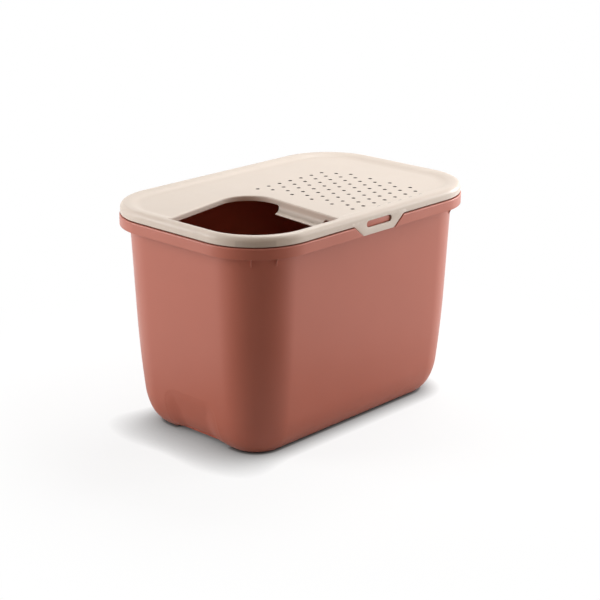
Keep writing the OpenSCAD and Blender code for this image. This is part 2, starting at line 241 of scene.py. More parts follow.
class LitterBox(bpy.types.PropertyGroup):
    """All the sizes and finishes of the litter box."""

    tub: bpy.props.PointerProperty(type=TubSizes, name="Tub", description="Sizes of the tub")
    lid: bpy.props.PointerProperty(type=LidSizes, name="Lid", description="Sizes of the lid")
    entry: bpy.props.PointerProperty(type=EntrySizes, name="Entry", description="Entry and lip")
    holes: bpy.props.PointerProperty(type=HoleSizes, name="Holes", description="Drain holes")
    clips: bpy.props.PointerProperty(type=ClipSizes, name="Clips", description="Clips and pockets")
    finishes: bpy.props.PointerProperty(type=Finishes, name="Finishes", description="Plastics")
    stage: bpy.props.PointerProperty(type=StageSizes, name="Stage", description="Camera and lamps")


def ease(x, start, end):
    """0 before start, 1 after end, and half a cosine wave between them."""
    f = np.clip((np.asarray(x, float) - start) / (end - start), 0, 1)
    return (1 - np.cos(HALF_TURN * f)) / 2


def unit(v):
    """Each row of v divided by its own length."""
    return v / np.linalg.norm(v, axis=-1, keepdims=True)


def quarter(steps, start=0.0, end=90.0):
    """Angles of an arc in radians, both ends included."""
    return np.radians(np.linspace(start, end, steps + 1))


# Points that describe the wall's lower roll, its belly and the dish's arcs
ROLL_POINTS, BELLY_POINTS, DISH_POINTS = 60, 40, 30
# The roll is fullest below the first height and plain above the second
FULL_HEIGHTS = 3 * MM, 50 * MM
# How far past the dish's roll the lid's ring goes before the flat deck begins
RING_PAST_ROLL = 2 * MM


def rounding(x, z, across, up, steps, swap=False):
    """A quarter circle that takes off the corner at (x, z), from across beside it to up from it.

    x + across (1 - sin a) and z + up (1 - cos a), a from 0 to 90 degrees. swap swaps sin and cos.
    """
    first, second = 1 - np.sin(quarter(steps)), 1 - np.cos(quarter(steps))
    if swap:
        first, second = second, first
    return x + across * first, z + up * second


class Shape:
    """The levels and insets that follow from the sizes. An inset counts from the rim's face."""

    def __init__(self, box):
        tub, lid, entry, clips = box.tub, box.lid, box.entry, box.clips
        self.box = box
        self.length = TUB_HIGH.x - TUB_LOW.x
        self.width = TUB_HIGH.y - TUB_LOW.y
        self.rim_z = tub.height
        self.corner = tub.corner
        self.corner_x = self.length / 2 - tub.corner
        self.corner_y = self.width / 2 - tub.corner
        self.flange_z = self.rim_z - tub.wall
        self.band_z = self.rim_z - tub.band
        self.skirt_z = self.rim_z + lid.gap
        self.crest_z = self.skirt_z + lid.height
        self.deck_z = self.crest_z - lid.dish
        self.entry_z = self.crest_z - entry.wall
        self.shelf_z = self.crest_z - entry.lip_drop
        self.window_z = self.band_z + clips.bar + clips.window_high / 2
        self.flex_z = self.band_z + clips.bar + clips.window_high + clips.strap
        self.clip_end = clips.top + clips.fillet / 2
        self.floor_z = tub.foot + tub.wall
        self.crest_in = lid.step + lid.rounding + lid.crest
        self.deck_in = self.crest_in + lid.dish_roll
        self.ring_in = self.deck_in + RING_PAST_ROLL
        self.dish_r = (lid.dish ** 2 + lid.dish_roll ** 2) / (4 * lid.dish)
        self.dish_turn = math.asin(lid.dish_roll / 2 / self.dish_r)
        self.set_wall(tub)
        self.set_entry(entry)

    def set_wall(self, tub):
        """The wall's outer face from the foot up: an arc, a longer arc and a straight lean.

        The first arc is moved outwards by the fullness, which fades with height.
        """
        belly_in = tub.rim_out + (self.flange_z - tub.belly) * math.tan(tub.lean)
        roll_lean = math.asin(math.sin(tub.lean) + (tub.belly - tub.roll) / tub.belly_radius)
        roll_in = belly_in + tub.belly_radius * (math.cos(tub.lean) - math.cos(roll_lean))
        roll_r = tub.roll / (math.sin(tub.base_lean) - math.sin(roll_lean))
        low = np.linspace(tub.base_lean, roll_lean, ROLL_POINTS)
        high = np.linspace(roll_lean, tub.lean, BELLY_POINTS)[1:]
        top_z = self.rim_z + tub.wall
        lean = np.concatenate([low, high, [tub.lean]])
        inset = np.concatenate([
            roll_in + roll_r * (math.cos(roll_lean) - np.cos(low)),
            belly_in + tub.belly_radius * (math.cos(tub.lean) - np.cos(high)),
            [tub.rim_out + (self.flange_z - top_z) * math.tan(tub.lean)],
        ])
        z = np.concatenate([
            tub.roll - roll_r * (np.sin(low) - math.sin(roll_lean)),
            tub.belly - tub.belly_radius * (np.sin(high) - math.sin(tub.lean)),
            [top_z],
        ])
        fuller = tub.fullness * (1 - ease(z, *FULL_HEIGHTS))
        self.foot_in = float(inset[0])
        inset = inset - fuller
        self.wall_z, self.wall_inset = z, inset
        self.inner_z = z + tub.wall * np.sin(lean)
        self.inner_inset = inset + tub.wall * np.cos(lean)

    def set_entry(self, entry):
        """The entry's outline: four corner points joined by straight edges, each corner an arc."""
        x = entry.inset - self.length / 2
        y = entry.inset - self.width / 2
        self.entry_points = np.array([
            [x, y],
            [x + entry.length - entry.near_slant, y],
            [x + entry.length, y + entry.width],
            [x, y + entry.width - entry.far_slant],
        ])
        self.entry_radii = np.array([
            self.corner - entry.inset, entry.near_corner, entry.middle_corner, entry.far_corner,
        ])
        self.divider = unit(self.entry_points[2] - self.entry_points[1])

    def wall_in(self, z):
        """Inset of the tub's outer face at a height."""
        return np.interp(z, self.wall_z, self.wall_inset)

    def inner_in(self, z):
        """Inset of the tub's inner face at a height."""
        return np.interp(z, self.inner_z, self.inner_inset)

    def inset(self, p):
        """How far in from the rim's outer face a point lies.

        It is the corner radius less the distance to the rectangle of the corners' centres.
        """
        q = np.abs(p) - (self.corner_x, self.corner_y)
        outside = np.linalg.norm(np.maximum(q, 0), axis=-1)
        return self.corner - outside - np.minimum(q.max(axis=-1), 0)

    def top(self, inset):
        """Height of the lid's top face: a level crest, then two equal arcs down to a level deck."""
        x = np.asarray(inset, float)
        half = (self.crest_in + self.deck_in) / 2
        a = np.clip(x - self.crest_in, 0, half - self.crest_in)
        b = np.clip(self.deck_in - x, 0, self.deck_in - half)
        upper = self.crest_z - self.dish_r + np.sqrt(self.dish_r ** 2 - a * a)
        lower = self.deck_z + self.dish_r - np.sqrt(self.dish_r ** 2 - b * b)
        return np.where(x < half, upper, lower)

    def under(self, inset):
        """Height of the lid's underside: the top's arcs moved in by the wall's thickness."""
        t = self.box.tub.wall
        a = np.linspace(0, self.dish_turn, DISH_POINTS)
        b = a[::-1][1:]
        along = np.concatenate([
            self.crest_in + (self.dish_r - t) * np.sin(a),
            self.deck_in - (self.dish_r + t) * np.sin(b),
        ])
        high = np.concatenate([
            self.crest_z - self.dish_r + (self.dish_r - t) * np.cos(a),
            self.deck_z + self.dish_r - (self.dish_r + t) * np.cos(b),
        ])
        return np.interp(inset, along, high)

    def pocket_edge(self, z):
        """Half the width of a clip's pocket at a height.

        It is a slant between a rounded corner and a fillet, all moved out by the gap.
        """
        c = self.box.clips
        gap = c.pocket_gap
        along = unit(np.array([c.top - c.low, self.skirt_z - self.band_z]))
        out = np.array([along[1], -along[0]])
        slope = along[0] / along[1]
        slant = c.low + (z - self.band_z) * slope + gap / out[0]
        corner = np.array([0, self.band_z + c.corner])
        corner[0] = c.low + c.corner * slope - c.corner / out[0]
        fillet = np.array([0, self.skirt_z - c.fillet])
        fillet[0] = c.low + (fillet[1] - self.band_z) * slope + c.fillet / out[0]
        low_r, high_r = c.corner + gap, c.fillet - gap
        low = corner[0] + np.sqrt(np.maximum(low_r ** 2 - (z - corner[1]) ** 2, 0))
        high = fillet[0] - np.sqrt(np.maximum(high_r ** 2 - (z - fillet[1]) ** 2, 0))
        at_corner = z < corner[1] + low_r * out[1]
        at_fillet = z > fillet[1] - high_r * out[1]
        return np.where(at_corner, low, np.where(at_fillet, high, slant))


WELD = TINY / 10
# An edge wears where it turns outwards by more than the first angle, and fully from the second
WORN_ANGLES = math.radians(9), math.radians(26)
SHARP_ANGLE = math.radians(35)


def store(mesh, name, values):
    """Keeps a number for each point of a mesh, for its material to read."""
    mesh.attributes.new(name, "FLOAT", "POINT").data.foreach_set("value", values)


class Surface:
    """Gathers grids and flat plates, and welds them into one mesh."""

    def __init__(self):
        self.points, self.faces, self.count = [], [], 0

    def grid(self, points, around=False, keep=None):
        """Adds an array of rows by columns of points as quads.

        around joins the last column to the first, and keep says which quads stay.
        """
        rows, columns = points.shape[:2]
        i = np.arange(rows * columns).reshape(rows, columns)
        after = np.roll(i, -1, axis=1)
        quads = np.stack([i[:-1], after[:-1], after[1:], i[1:]], axis=-1)
        if not around:
            quads = quads[:, :-1]
        quads = quads.reshape(-1, 4) if keep is None else quads[keep]
        self.add(points.reshape(-1, 3), quads)

    def loop_plate(self, points):
        """Adds one flat face bounded by a loop of points."""
        self.add(points, np.arange(len(points))[None])

    def add(self, points, faces):
        """Adds points, and faces that count from the first of them."""
        self.points.append(points)
        self.faces += (np.asarray(faces) + self.count).tolist()
        self.count += len(points)

    def finish(self, name, body):
        """Welds points that coincide, turns the faces outwards and makes the object."""
        mesh = bpy.data.meshes.new(name)
        mesh.from_pydata(np.concatenate(self.points), [], self.faces)
        work = bmesh.new()
        work.from_mesh(mesh)
        bmesh.ops.remove_doubles(work, verts=work.verts, dist=WELD)
        bmesh.ops.recalc_face_normals(work, faces=work.faces)
        loose = sum(1 for e in work.edges if len(e.link_faces) != 2)
        sharpness = ease([
            max((e.calc_face_angle_signed(0) for e in v.link_edges), default=0) for v in work.verts
        ], *WORN_ANGLES)
        work.to_mesh(mesh)
        work.free()
        print(f"{name}: {len(mesh.polygons)} faces, {loose} edges that don't join two faces")
        store(mesh, "worn_edge", sharpness)
        mesh.polygons.foreach_set("use_smooth", np.ones(len(mesh.polygons), bool))
        mesh.set_sharp_from_angle(angle=SHARP_ANGLE)
        piece = bpy.data.objects.new(name, mesh)
        bpy.context.scene.collection.objects.link(piece)
        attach(piece, body)
        return piece


def in_odd_number(points, loops):
    """Which points lie inside an odd number of the loops.

    From such a point a line along X crosses their edges an odd number of times.
    """
    start = np.concatenate(loops)
    end = np.concatenate([np.roll(loop, -1, axis=0) for loop in loops])
    x, y = points[:, :1], points[:, 1:]
    rise = np.where(end[:, 1] == start[:, 1], 1, end[:, 1] - start[:, 1])
    crossing = start[:, 0] + (y - start[:, 1]) / rise * (end[:, 0] - start[:, 0])
    passed = ((start[:, 1] > y) != (end[:, 1] > y)) & (x < crossing)
    return passed.sum(axis=1) % 2 == 1


PLATE_TOLERANCE = 1e-6


def plate_triangles(loops, extra=()):
    """Points and triangles of a flat plate.

    The first loop bounds it, the others are holes, and extra points may lie inside it.
    """
    points = np.concatenate(loops + ([extra] if len(extra) else []))
    starts = np.cumsum([0] + [len(loop) for loop in loops])
    indices = [start + np.arange(len(loop)) for start, loop in zip(starts, loops)]
    edges = np.concatenate([np.stack([i, np.roll(i, -1)], axis=1) for i in indices])
    scaled = [Vector(p) for p in points / MM]
    found = delaunay_2d_cdt(scaled, edges.tolist(), [], 0, PLATE_TOLERANCE, False)
    made = np.array(found[0]) * MM
    triangles = np.array(found[2])
    return made, triangles[in_odd_number(made[triangles].mean(axis=1), loops)]


def rim_rays(places, angles, shape):
    """The foot and outward direction of each ray that runs in from the rim.

    They go counterclockwise from the front side's left end. places holds the positions along each
    side and angles those within each corner.
    """
    feet, outward = [], []
    for side, (place, bend) in enumerate(zip(places, angles)):
        turn = HALF_TURN / 2 * side
        normal = np.array([math.sin(turn), -math.cos(turn)])
        along = np.array([math.cos(turn), math.sin(turn)])
        half, across = shape.corner_x, shape.corner_y
        if side % 2:
            half, across = across, half
        place, bend = np.asarray(place)[:, None], np.asarray(bend)[:, None]
        feet += [place * along + across * normal, 0 * bend + (half * along + across * normal)]
        outward += [0 * place + normal, np.cos(bend) * normal + np.sin(bend) * along]
    return np.concatenate(feet), np.concatenate(outward)


def on_rays(feet, outward, reach, z, shift=None):
    """Points at a reach from each ray's foot and at a height. shift moves a point along the rim."""
    flat = feet + reach[..., None] * outward
    if shift is not None:
        along = np.stack([-outward[:, 1], outward[:, 0]], axis=-1)
        flat = flat + shift[..., None] * along
    return np.concatenate([flat, np.broadcast_to(z, flat.shape[:-1])[..., None]], axis=-1)


def rounded_outline(corners, radii, steps):
    """Points and outward normals of a counterclockwise outline.

    Each corner is an arc that touches both its edges, and a radius of 0 leaves it square.
    """
    p = np.asarray(corners, float)
    r = np.asarray(radii, float)
    a = unit(p - np.roll(p, 1, axis=0))
    b = unit(np.roll(p, -1, axis=0) - p)
    turn = np.arctan2(a[:, 0] * b[:, 1] - a[:, 1] * b[:, 0], (a * b).sum(axis=1))
    side = np.sign(turn)
    left = np.stack([-a[:, 1], a[:, 0]], axis=1)
    centre = p - a * (r * np.tan(np.abs(turn) / 2))[:, None] + (side * r)[:, None] * left
    start = np.arctan2(-a[:, 0], a[:, 1])
    at = start[:, None] + turn[:, None] * np.linspace(0, 1, steps + 1)
    normals = np.stack([np.cos(at), np.sin(at)], axis=-1)
    points = centre[:, None] + (side * r)[:, None, None] * normals
    return points.reshape(-1, 2), normals.reshape(-1, 2)


def closer(points, normals, step):
    """Adds points to a closed outline so that no gap is longer than step(middle of the gap)."""
    after, after_n = np.roll(points, -1, axis=0), np.roll(normals, -1, axis=0)
    gap = np.linalg.norm(after - points, axis=1)
    parts = np.maximum(np.ceil(gap / step((points + after) / 2) - 1e-6).astype(int), 1)
    index = np.repeat(np.arange(len(points)), parts)
    f = (np.arange(len(index)) - np.repeat(np.cumsum(parts) - parts, parts)) / parts[index]
    f = f[:, None]
    blend = unit(normals[index] * (1 - f) + after_n[index] * f)
    return points[index] * (1 - f) + after[index] * f, blend


# Radius that is left of the corners where the tub's flat floor plates begin
PLATE_CORNER = 12 * MM
# Fillet between the wall and the rim's flange, and rounding of the tub's mouth
FLANGE_ROUND, MOUTH_ROUND = 2 * MM, 1 * MM
# Steps between rows: up the outer wall by the recess, over the belly and above it, up the band,
# and down the inner wall to the belly, to the recess's top and to the floor
OUTER_STEPS, BAND_STEP = (2 * MM, 7 * MM, 22 * MM), 1.5 * MM
INNER_STEPS = 30 * MM, 10 * MM, 2.5 * MM
# Steps between rays: beside a pocket, across a recess and beside it
LONG_STEP, RECESS_STEP, SHORT_STEP = 24 * MM, 1.6 * MM, 12 * MM
# How far the close rays go on past a pocket and past a recess, and how wide its gap's edge is
POCKET_MARGIN, RECESS_MARGIN, GAP_EDGE = 20 * MM, 6 * MM, 1.6 * MM
# Rays within each rounded corner of the rim
CORNER_BENDS = quarter(30)[1:-1]
# A direction's component above this means that it runs along that axis
STRAIGHT = 0.999
# Farther than anything on the box
FAR = 1.0
# The recess's crisp edge takes this share of its depth, and the soft slope the rest
CRISP_SHARE = 0.1
CRISP_WIDTH, SOFT_WIDTH = 2.5 * MM, 36 * MM


def smoothly_spaced(low, high, step):
    """Evenly spaced values from low to high, both included, no further apart than step."""
    return np.linspace(low, high, max(int(math.ceil((high - low) / step)), 1) + 1)


def tub_rows(shape):
    """The tub's section as rows of inset, height, face, pocket share and back share.

    The face is 1 on the outer wall, 2 on the inner wall and 0 elsewhere. The pocket share says how
    much of the clip pocket's depth a row takes, and the back share how much of the pocket's side
    wall lies between the row and the face. Rounded edges are quarter circles.
    """
    tub, t, edge = shape.box.tub, shape.box.tub.wall, shape.box.clips.edge
    deep = shape.corner - PLATE_CORNER
    foot_inner = shape.foot_in + tub.foot_edge
    mouth = float(shape.inner_in(shape.rim_z - MOUTH_ROUND))
    rows = []

    def add(inset, z, face=0, pocket=0.0, back=0.0):
        parts = np.broadcast_arrays(inset, z, face, pocket, back)
        rows.append(np.stack([np.atleast_1d(p).astype(float) for p in parts], axis=1))

    add([deep, (deep + foot_inner) / 2, foot_inner + 0.8 * MM], tub.foot)
    add(foot_inner, [tub.foot - 0.3 * MM, edge])
    add([foot_inner - edge, foot_inner - 2 * edge, shape.foot_in + edge], 0)
    under = float(shape.wall_in(tub.undercut))
    add(shape.foot_in, [edge, tub.undercut - edge])
    add([shape.foot_in - edge, under + 2 * edge, under + edge / 2], tub.undercut)
    clear = tub.grip_high + 4 * MM
    rib_foot = shape.band_z - tub.rib_drop
    under_z = shape.flange_z - FLANGE_ROUND
    add(0, np.concatenate([
        smoothly_spaced(tub.undercut + edge / 2, clear, OUTER_STEPS[0]),
        smoothly_spaced(clear, tub.belly, OUTER_STEPS[1])[1:],
        smoothly_spaced(tub.belly, rib_foot, OUTER_STEPS[2])[1:],
        [shape.band_z, under_z - 1 * MM, under_z],
    ]), 1)
    at = shape.wall_in(under_z)
    fillet = rounding(at, shape.flange_z, -FLANGE_ROUND, -FLANGE_ROUND, 4, swap=True)
    add(*(part[1:] for part in fillet))
    add(at - FLANGE_ROUND - 1 * MM, shape.flange_z)
    add([t + 2 * MM, t + 1 * MM], shape.flange_z, 0, 1, 1)
    add(*(part[1:] for part in rounding(t, shape.flange_z, 1 * MM, -1 * MM, 4)), 0, 1, 1)
    add(t, [under_z, shape.band_z + 2 * edge], 0, 1, 1)
    inner, z = rounding(t, shape.band_z, -edge, edge, 4, swap=True)
    add(inner, z, 0, 1, inner / t)
    outer, z = rounding(0, shape.band_z, edge, edge, 4)
    add(outer, z, 0, 1, outer / t)
    face_top = shape.rim_z - tub.rim_round - 0.5 * MM
    add(0, smoothly_spaced(shape.band_z + 2 * edge, face_top, BAND_STEP), 0, 1)
    add(*rounding(0, shape.rim_z, tub.rim_round, -tub.rim_round, 5, swap=True), 0, 1)
    add(tub.rim_round + 0.6 * MM, shape.rim_z, 0, 1)
    add((tub.rim_round + mouth) / 2, shape.rim_z, 0, 0.4)
    add(mouth - MOUTH_ROUND - 0.6 * MM, shape.rim_z)
    add(*rounding(mouth, shape.rim_z, -MOUTH_ROUND, -MOUTH_ROUND, 4))
    floor_round = shape.floor_z + 1.5 * MM
    add(0, np.concatenate([
        smoothly_spaced(tub.belly, shape.rim_z - MOUTH_ROUND - 0.8 * MM, INNER_STEPS[0])[::-1],
        smoothly_spaced(clear, tub.belly, INNER_STEPS[1])[::-1][1:],
        smoothly_spaced(floor_round, clear, INNER_STEPS[2])[::-1][1:],
    ]), 2)
    corner = float(shape.inner_in(floor_round))
    add(corner + np.array([1.6, 4, 9]) * MM, shape.floor_z + np.array([0.4, 0, 0]) * MM)
    add([(corner + deep) / 2 + 4 * MM, deep], shape.floor_z)
    return np.concatenate(rows).T


def pocket_columns(shape):
    """Columns of half a long side, from its middle out, in the pocket's own terms.

    Each has a share of the pocket's half width, an offset past its edge, a share of the plain
    stretch beyond it, and a depth: 1 inside the pocket, 0 outside, and a quarter circle between.
    """
    edge = shape.box.clips.edge
    inside = np.concatenate([np.linspace(0, 0.94, 9), [0.985, 1]])
    outside = np.array([0, 0.15, 0.4, 0.7, 1])
    across, inwards = (part[::-1] for part in rounding(0, 0, edge, edge, 3))
    rim = inwards / shape.box.clips.pocket
    parts = (inside, 0, 0, 1), (1, across, 0, rim), (1, 2 * edge, outside, 0)
    return [np.concatenate(column) for column in zip(*(np.broadcast_arrays(*p) for p in parts))]


def both_ways(half):
    """Positions from 0 up, given for both sides of 0 in rising order."""
    return np.concatenate([-half[:0:-1], half])


def tub_shell(shape):
    """The tub: its section carried round the rim, with hand recesses and clip pockets pressed in.

    Columns of a long side move along the rim to the pocket's own places, and rows go in by the
    pocket's depth there. Rows of a short side's wall go in by the recess.
    """
    tub, clips = shape.box.tub, shape.box.clips
    share_in, past, beyond, depth = pocket_columns(shape)
    end = shape.clip_end + POCKET_MARGIN
    plain = np.linspace(0, end, len(share_in))
    rest = smoothly_spaced(end, shape.corner_x, LONG_STEP)[1:]
    long_side = both_ways(np.concatenate([plain, rest]))
    fine = smoothly_spaced(0, tub.grip / 2 + RECESS_MARGIN, RECESS_STEP)
    rest = smoothly_spaced(fine[-1], shape.corner_y, SHORT_STEP)[1:]
    short_side = both_ways(np.concatenate([fine, rest]))
    feet, outward = rim_rays([long_side, short_side] * 2, [CORNER_BENDS] * 4, shape)
    inset, z, face, pocket, back = (row[:, None] for row in tub_rows(shape))

    on_long = (np.abs(outward[:, 1]) > STRAIGHT) & (np.abs(feet[:, 0]) <= shape.corner_x)
    along = feet[:, 0] * -np.sign(outward[:, 1])
    column = np.searchsorted(plain, np.abs(along) - TINY)
    in_reach = on_long & (column < len(plain))
    column = np.minimum(column, len(plain) - 1)
    edge_x = shape.pocket_edge(np.clip(z, shape.band_z, shape.rim_z)) + tub.wall * back
    inner = share_in[column] * edge_x + past[column]
    placed = inner + beyond[column] * (end - inner)
    shift = np.sign(along) * (placed - plain[column]) * np.minimum(2 * pocket, 1)
    shift = np.where(in_reach & (pocket > 0), shift, 0)
    cut = np.where(in_reach, depth[column] * pocket * clips.pocket, 0)

    on_short = np.abs(outward[:, 0]) > STRAIGHT
    y = np.where(on_short, np.abs(feet[:, 1]), FAR)
    side = tub.grip / 2
    gap = tub.grip_gap * (1 - ease(y, side - GAP_EDGE / 2, side + GAP_EDGE / 2))
    lifted = z + gap * np.clip(1 - z / (3 * tub.grip_gap), 0, 1)
    z = np.where((face == 1) | (z < tub.foot), lifted, z)
    ring_top = (face == 0) & (z > tub.foot) & (z < shape.floor_z)
    ring_top = ring_top & (inset > shape.foot_in) & (pocket == 0)
    z = np.where(ring_top, tub.foot, z)
    inset = np.where(face == 2, shape.inner_in(z), inset + cut)
    inset = np.where(face == 1, shape.wall_in(z), inset)
    inset = inset + np.where((face > 0) & (z < tub.belly), hand_recess(tub, y, z), 0)
    points = on_rays(feet, outward, shape.corner - inset, z, np.broadcast_to(shift, inset.shape))
    made = Surface()
    made.grid(points, around=True)
    made.loop_plate(points[0])
    made.loop_plate(points[-1])
    return made.finish("tub_shell", "tub")


def hand_recess(tub, y, z):
    """How far a hand recess presses a short side in, at y from its middle and at a height z.

    It is a panel with two rounded upper corners, open at the floor and deeper towards it. By the
    distance inside the panel's outline, a small part of the depth is reached at once and the rest
    over a wide slope.
    """
    r = tub.grip_corner
    beside, above = y - (tub.grip / 2 - r), z - (tub.grip_high - r)
    outside = np.hypot(np.maximum(beside, 0), np.maximum(above, 0)) - r
    outside = outside + np.minimum(np.maximum(beside, above), 0)
    deep = tub.grip_deep + (tub.grip_shallow - tub.grip_deep) * np.clip(z / tub.grip_high, 0, 1)
    crisp, soft = (1 - ease(outside, -width, 0) for width in (CRISP_WIDTH, SOFT_WIDTH))
    return deep * (CRISP_SHARE * crisp + (1 - CRISP_SHARE) * soft)


def slab(made, outline, normals, placed, edges):
    """Adds the rim of a slab: its outline carried across its thickness.

    Each row of edges is an offset inwards from the outline and a depth.
    """
    rows = np.stack([placed(outline - normals * offset, depth) for offset, depth in edges])
    made.grid(rows, around=True)
    return rows[0], rows[-1]


RIB_ROUND = 0.5 * MM


def corner_ribs(shape):
    """Two stacking ribs at each corner: a tapered outline, given a thickness and rounded edges."""
    tub = shape.box.tub
    low_z = shape.band_z - tub.rib_drop
    low_in = float(shape.wall_in(low_z))
    corners = [
        [low_in + 1 * MM, low_z], [low_in - 0.6 * MM, low_z],
        [tub.wall / 2, shape.flange_z - 1 * MM], [tub.wall / 2, shape.flange_z + 1 * MM],
        [tub.rim_out + 1 * MM, shape.flange_z + 1 * MM],
    ]
    outline, normals = rounded_outline(corners[::-1], [0.2 * MM] * 5, 2)
    edges = list(zip(*rounding(0, tub.rib / 2, RIB_ROUND, -RIB_ROUND, 3)))
    edges = [(offset, -depth) for offset, depth in edges] + edges[::-1]
    made = Surface()
    for side_x in (-1, 1):
        for side_y in (-1, 1):
            for turn in (tub.rib_first, tub.rib_second):
                out = np.array([side_x * math.cos(turn), side_y * math.sin(turn), 0])
                across = np.array([-out[1], out[0], 0])
                centre = np.array([side_x * shape.corner_x, side_y * shape.corner_y, 0])

                def placed(p, depth):
                    reach = (shape.corner - p[:, :1]) * out + centre + depth * across
                    return reach + p[:, 1:] * np.array([0, 0, 1])

                for end in slab(made, outline, normals, placed, edges):
                    made.loop_plate(end)
    return made.finish("corner_ribs", "tub")


def stadium(length, high, steps=14):
    """Points and outward normals of a slot with round ends, counterclockwise."""
    bend = np.linspace(-HALF_TURN / 2, HALF_TURN / 2, steps + 1)
    right = np.stack([np.cos(bend), np.sin(bend)], axis=1)
    normals = np.concatenate([right, -right])
    middle = np.tile([(length - high) / 2, 0], (steps + 1, 1))
    return np.concatenate([middle, -middle]) + high / 2 * normals, normals


def on_face(shape, side):
    """Places points (x, z) of a long side's face at a depth behind the rim's face.

    side is -1 for the front and 1 for the back.
    """
    def placed(p, depth):
        x, z = p[:, 0] * -side, p[:, 1]
        y = np.broadcast_to(side * (shape.width / 2 - depth), x.shape)
        return np.stack([x, y, z], axis=1)
    return placed


def catches(shape):
    """The catch behind each clip's window: a round-ended boss on the pocket's back."""
    clips = shape.box.clips
    margin = 2 * clips.catch_margin
    outline, normals = stadium(clips.window - margin, clips.window_high - margin)
    outline = outline + (0, shape.window_z)
    front = shape.box.lid.step + shape.box.tub.wall + clips.catch_gap
    edges = [(0, clips.pocket + 1 * MM)]
    edges += zip(*rounding(0, front, clips.edge, clips.edge, 4, swap=True))
    made = Surface()
    for side in (-1, 1):
        for end in slab(made, outline, normals, on_face(shape, side), edges):
            made.loop_plate(end)
    return made.finish("catches", "tub")


# Steps between points of the entry's edge: along the divider and elsewhere
DIVIDER_STEP, EDGE_STEP = 1.6 * MM, 5 * MM
# Steps between the lid's rays: on the front before the zone, in it and after it, at the back
# and on a short side
FRONT_STEPS, BACK_STEP, SIDE_STEP = (18 * MM, 4 * MM, 14 * MM), 20 * MM, 16 * MM
# Steps across and along the deck between the plates' inner points
PLATE_STEPS = 3 * MM, 2 * MM
# A level strip left beside every rounded edge of the lid's top face
HOLD = 0.5 * MM
# Points across each face of the lid's ring from the deck to the crest, and the rows of quads by the
# crest that stay beside the highest holes
DECK_ROWS, ZONE_ROWS = 16, 4
CIRCLE_STEPS = 24
# More rows, and half pitches along a row, than the deck has room for
MOST_ROWS, MOST_IN_ROW = 60, 40
# The faces inside the entry take this share of the drain holes' painted shade, over these depths
WELL_SHADE, WELL_DEPTHS = 0.17, (-2 * MM, 6 * MM)


def entry_edge(shape):
    """The entry's outline and normals, counterclockwise, and the index where it turns back.

    It starts where the lid's round edge beside it leaves the deck for the roll beside the rim, and
    turns back where that edge comes to the deck again. Both points are added to it.
    """
    points, normals = rounded_outline(shape.entry_points, shape.entry_radii, 28)
    across = np.array([shape.divider[1], -shape.divider[0]])

    def step(p):
        near = np.abs((p - shape.entry_points[1]) @ across) < 1 * MM
        return np.where(near, DIVIDER_STEP, EDGE_STEP)

    points, normals = closer(points, normals, step)
    reach = shape.box.tub.wall + HOLD
    inset = shape.inset(points + reach * normals) - shape.ring_in
    cross = np.flatnonzero(inset * np.roll(inset, -1) < 0)
    f = (inset[cross] / (inset[cross] - np.roll(inset, -1)[cross]))[:, None]
    after = (cross + 1) % len(points)
    at = cross + 1
    crossing = points[cross] * (1 - f) + points[after] * f
    points = np.insert(points, at, crossing, axis=0)
    normals = np.insert(normals, at, unit(normals[cross] * (1 - f) + normals[after] * f), axis=0)
    falling = int(np.argmax(inset[cross] > 0))
    start = int(at[falling]) + falling
    points, normals = np.roll(points, -start, axis=0), np.roll(normals, -start, axis=0)
    other = int(at[1 - falling]) + 1 - falling
    return points, normals, (other - start) % len(points)


def drain_holes(shape):
    """Centres of the drain holes: every second point of a lattice in a round-cornered field."""
    holes = shape.box.holes
    x0 = shape.entry_points[2][0] + holes.start
    x1 = shape.length / 2 - holes.end
    y0 = holes.near - shape.width / 2
    y1 = shape.width / 2 - holes.far
    slack, r = 1 * MM, holes.corner
    i, j = np.meshgrid(np.arange(-1, MOST_ROWS), np.arange(MOST_IN_ROW), indexing="ij")
    x = x0 + i * holes.row
    y = y0 + j * holes.pitch / 2
    flare = np.where(y > y1 - holes.pitch / 2 + slack, holes.row, 0)
    left = np.where(y < y0 + r, x0 - slack + r - x, 0)
    dx = np.maximum(np.maximum(left, x - x1 + r), 0)
    dy = np.maximum(np.maximum(y0 + r - y, y - y1 + r), 0)
    chosen = ((i + j) % 2 != 0) & (x > x0 - flare - slack) & (np.hypot(dx, dy) < r + slack)
    chosen &= (y <= y1 + slack) & (x <= x1 + slack)
    return np.stack([x[chosen], y[chosen]], axis=1)


def lid_rows(shape):
    """The lid's section as rows of share of the way in, inset and height.

    They run from the deck's top face out over the edge, down the skirt and back on the underside.
    A share of -1 marks a row that has its own inset and height. Elsewhere the height is 0 for the
    top face and 1 for the underside.
    """
    lid, t = shape.box.lid, shape.box.tub.wall
    edge = shape.box.clips.edge
    inner, small = lid.step + t, lid.rounding - t
    inward = np.linspace(0, 1, DECK_ROWS)
    none = np.zeros(DECK_ROWS)
    rows = [np.stack([inward[::-1], none, none], axis=1)]

    def add(inset, z):
        inset, z = np.broadcast_arrays(np.atleast_1d(inset), np.atleast_1d(z))
        rows.append(np.stack([np.full(inset.shape, -1.0), inset, z], axis=1))

    add(shape.crest_in - 1 * MM, shape.crest_z)
    add(*rounding(lid.step, shape.crest_z, lid.rounding, -lid.rounding, 14))
    down = np.array([
        shape.crest_z - lid.rounding - 0.8 * MM, shape.flex_z, shape.flex_z - 1.5 * MM,
        shape.skirt_z + 2 * edge])
    add(lid.step, down)
    add(*rounding(lid.step, shape.skirt_z, edge, edge, 4, swap=True))
    add(*rounding(inner, shape.skirt_z, -edge, edge, 4))
    add(inner, down[::-1])
    add(*rounding(inner, shape.crest_z - t, small, -small, 8, swap=True))
    rows.append(np.stack([inward, none, none + 1], axis=1))
    return np.concatenate(rows).T


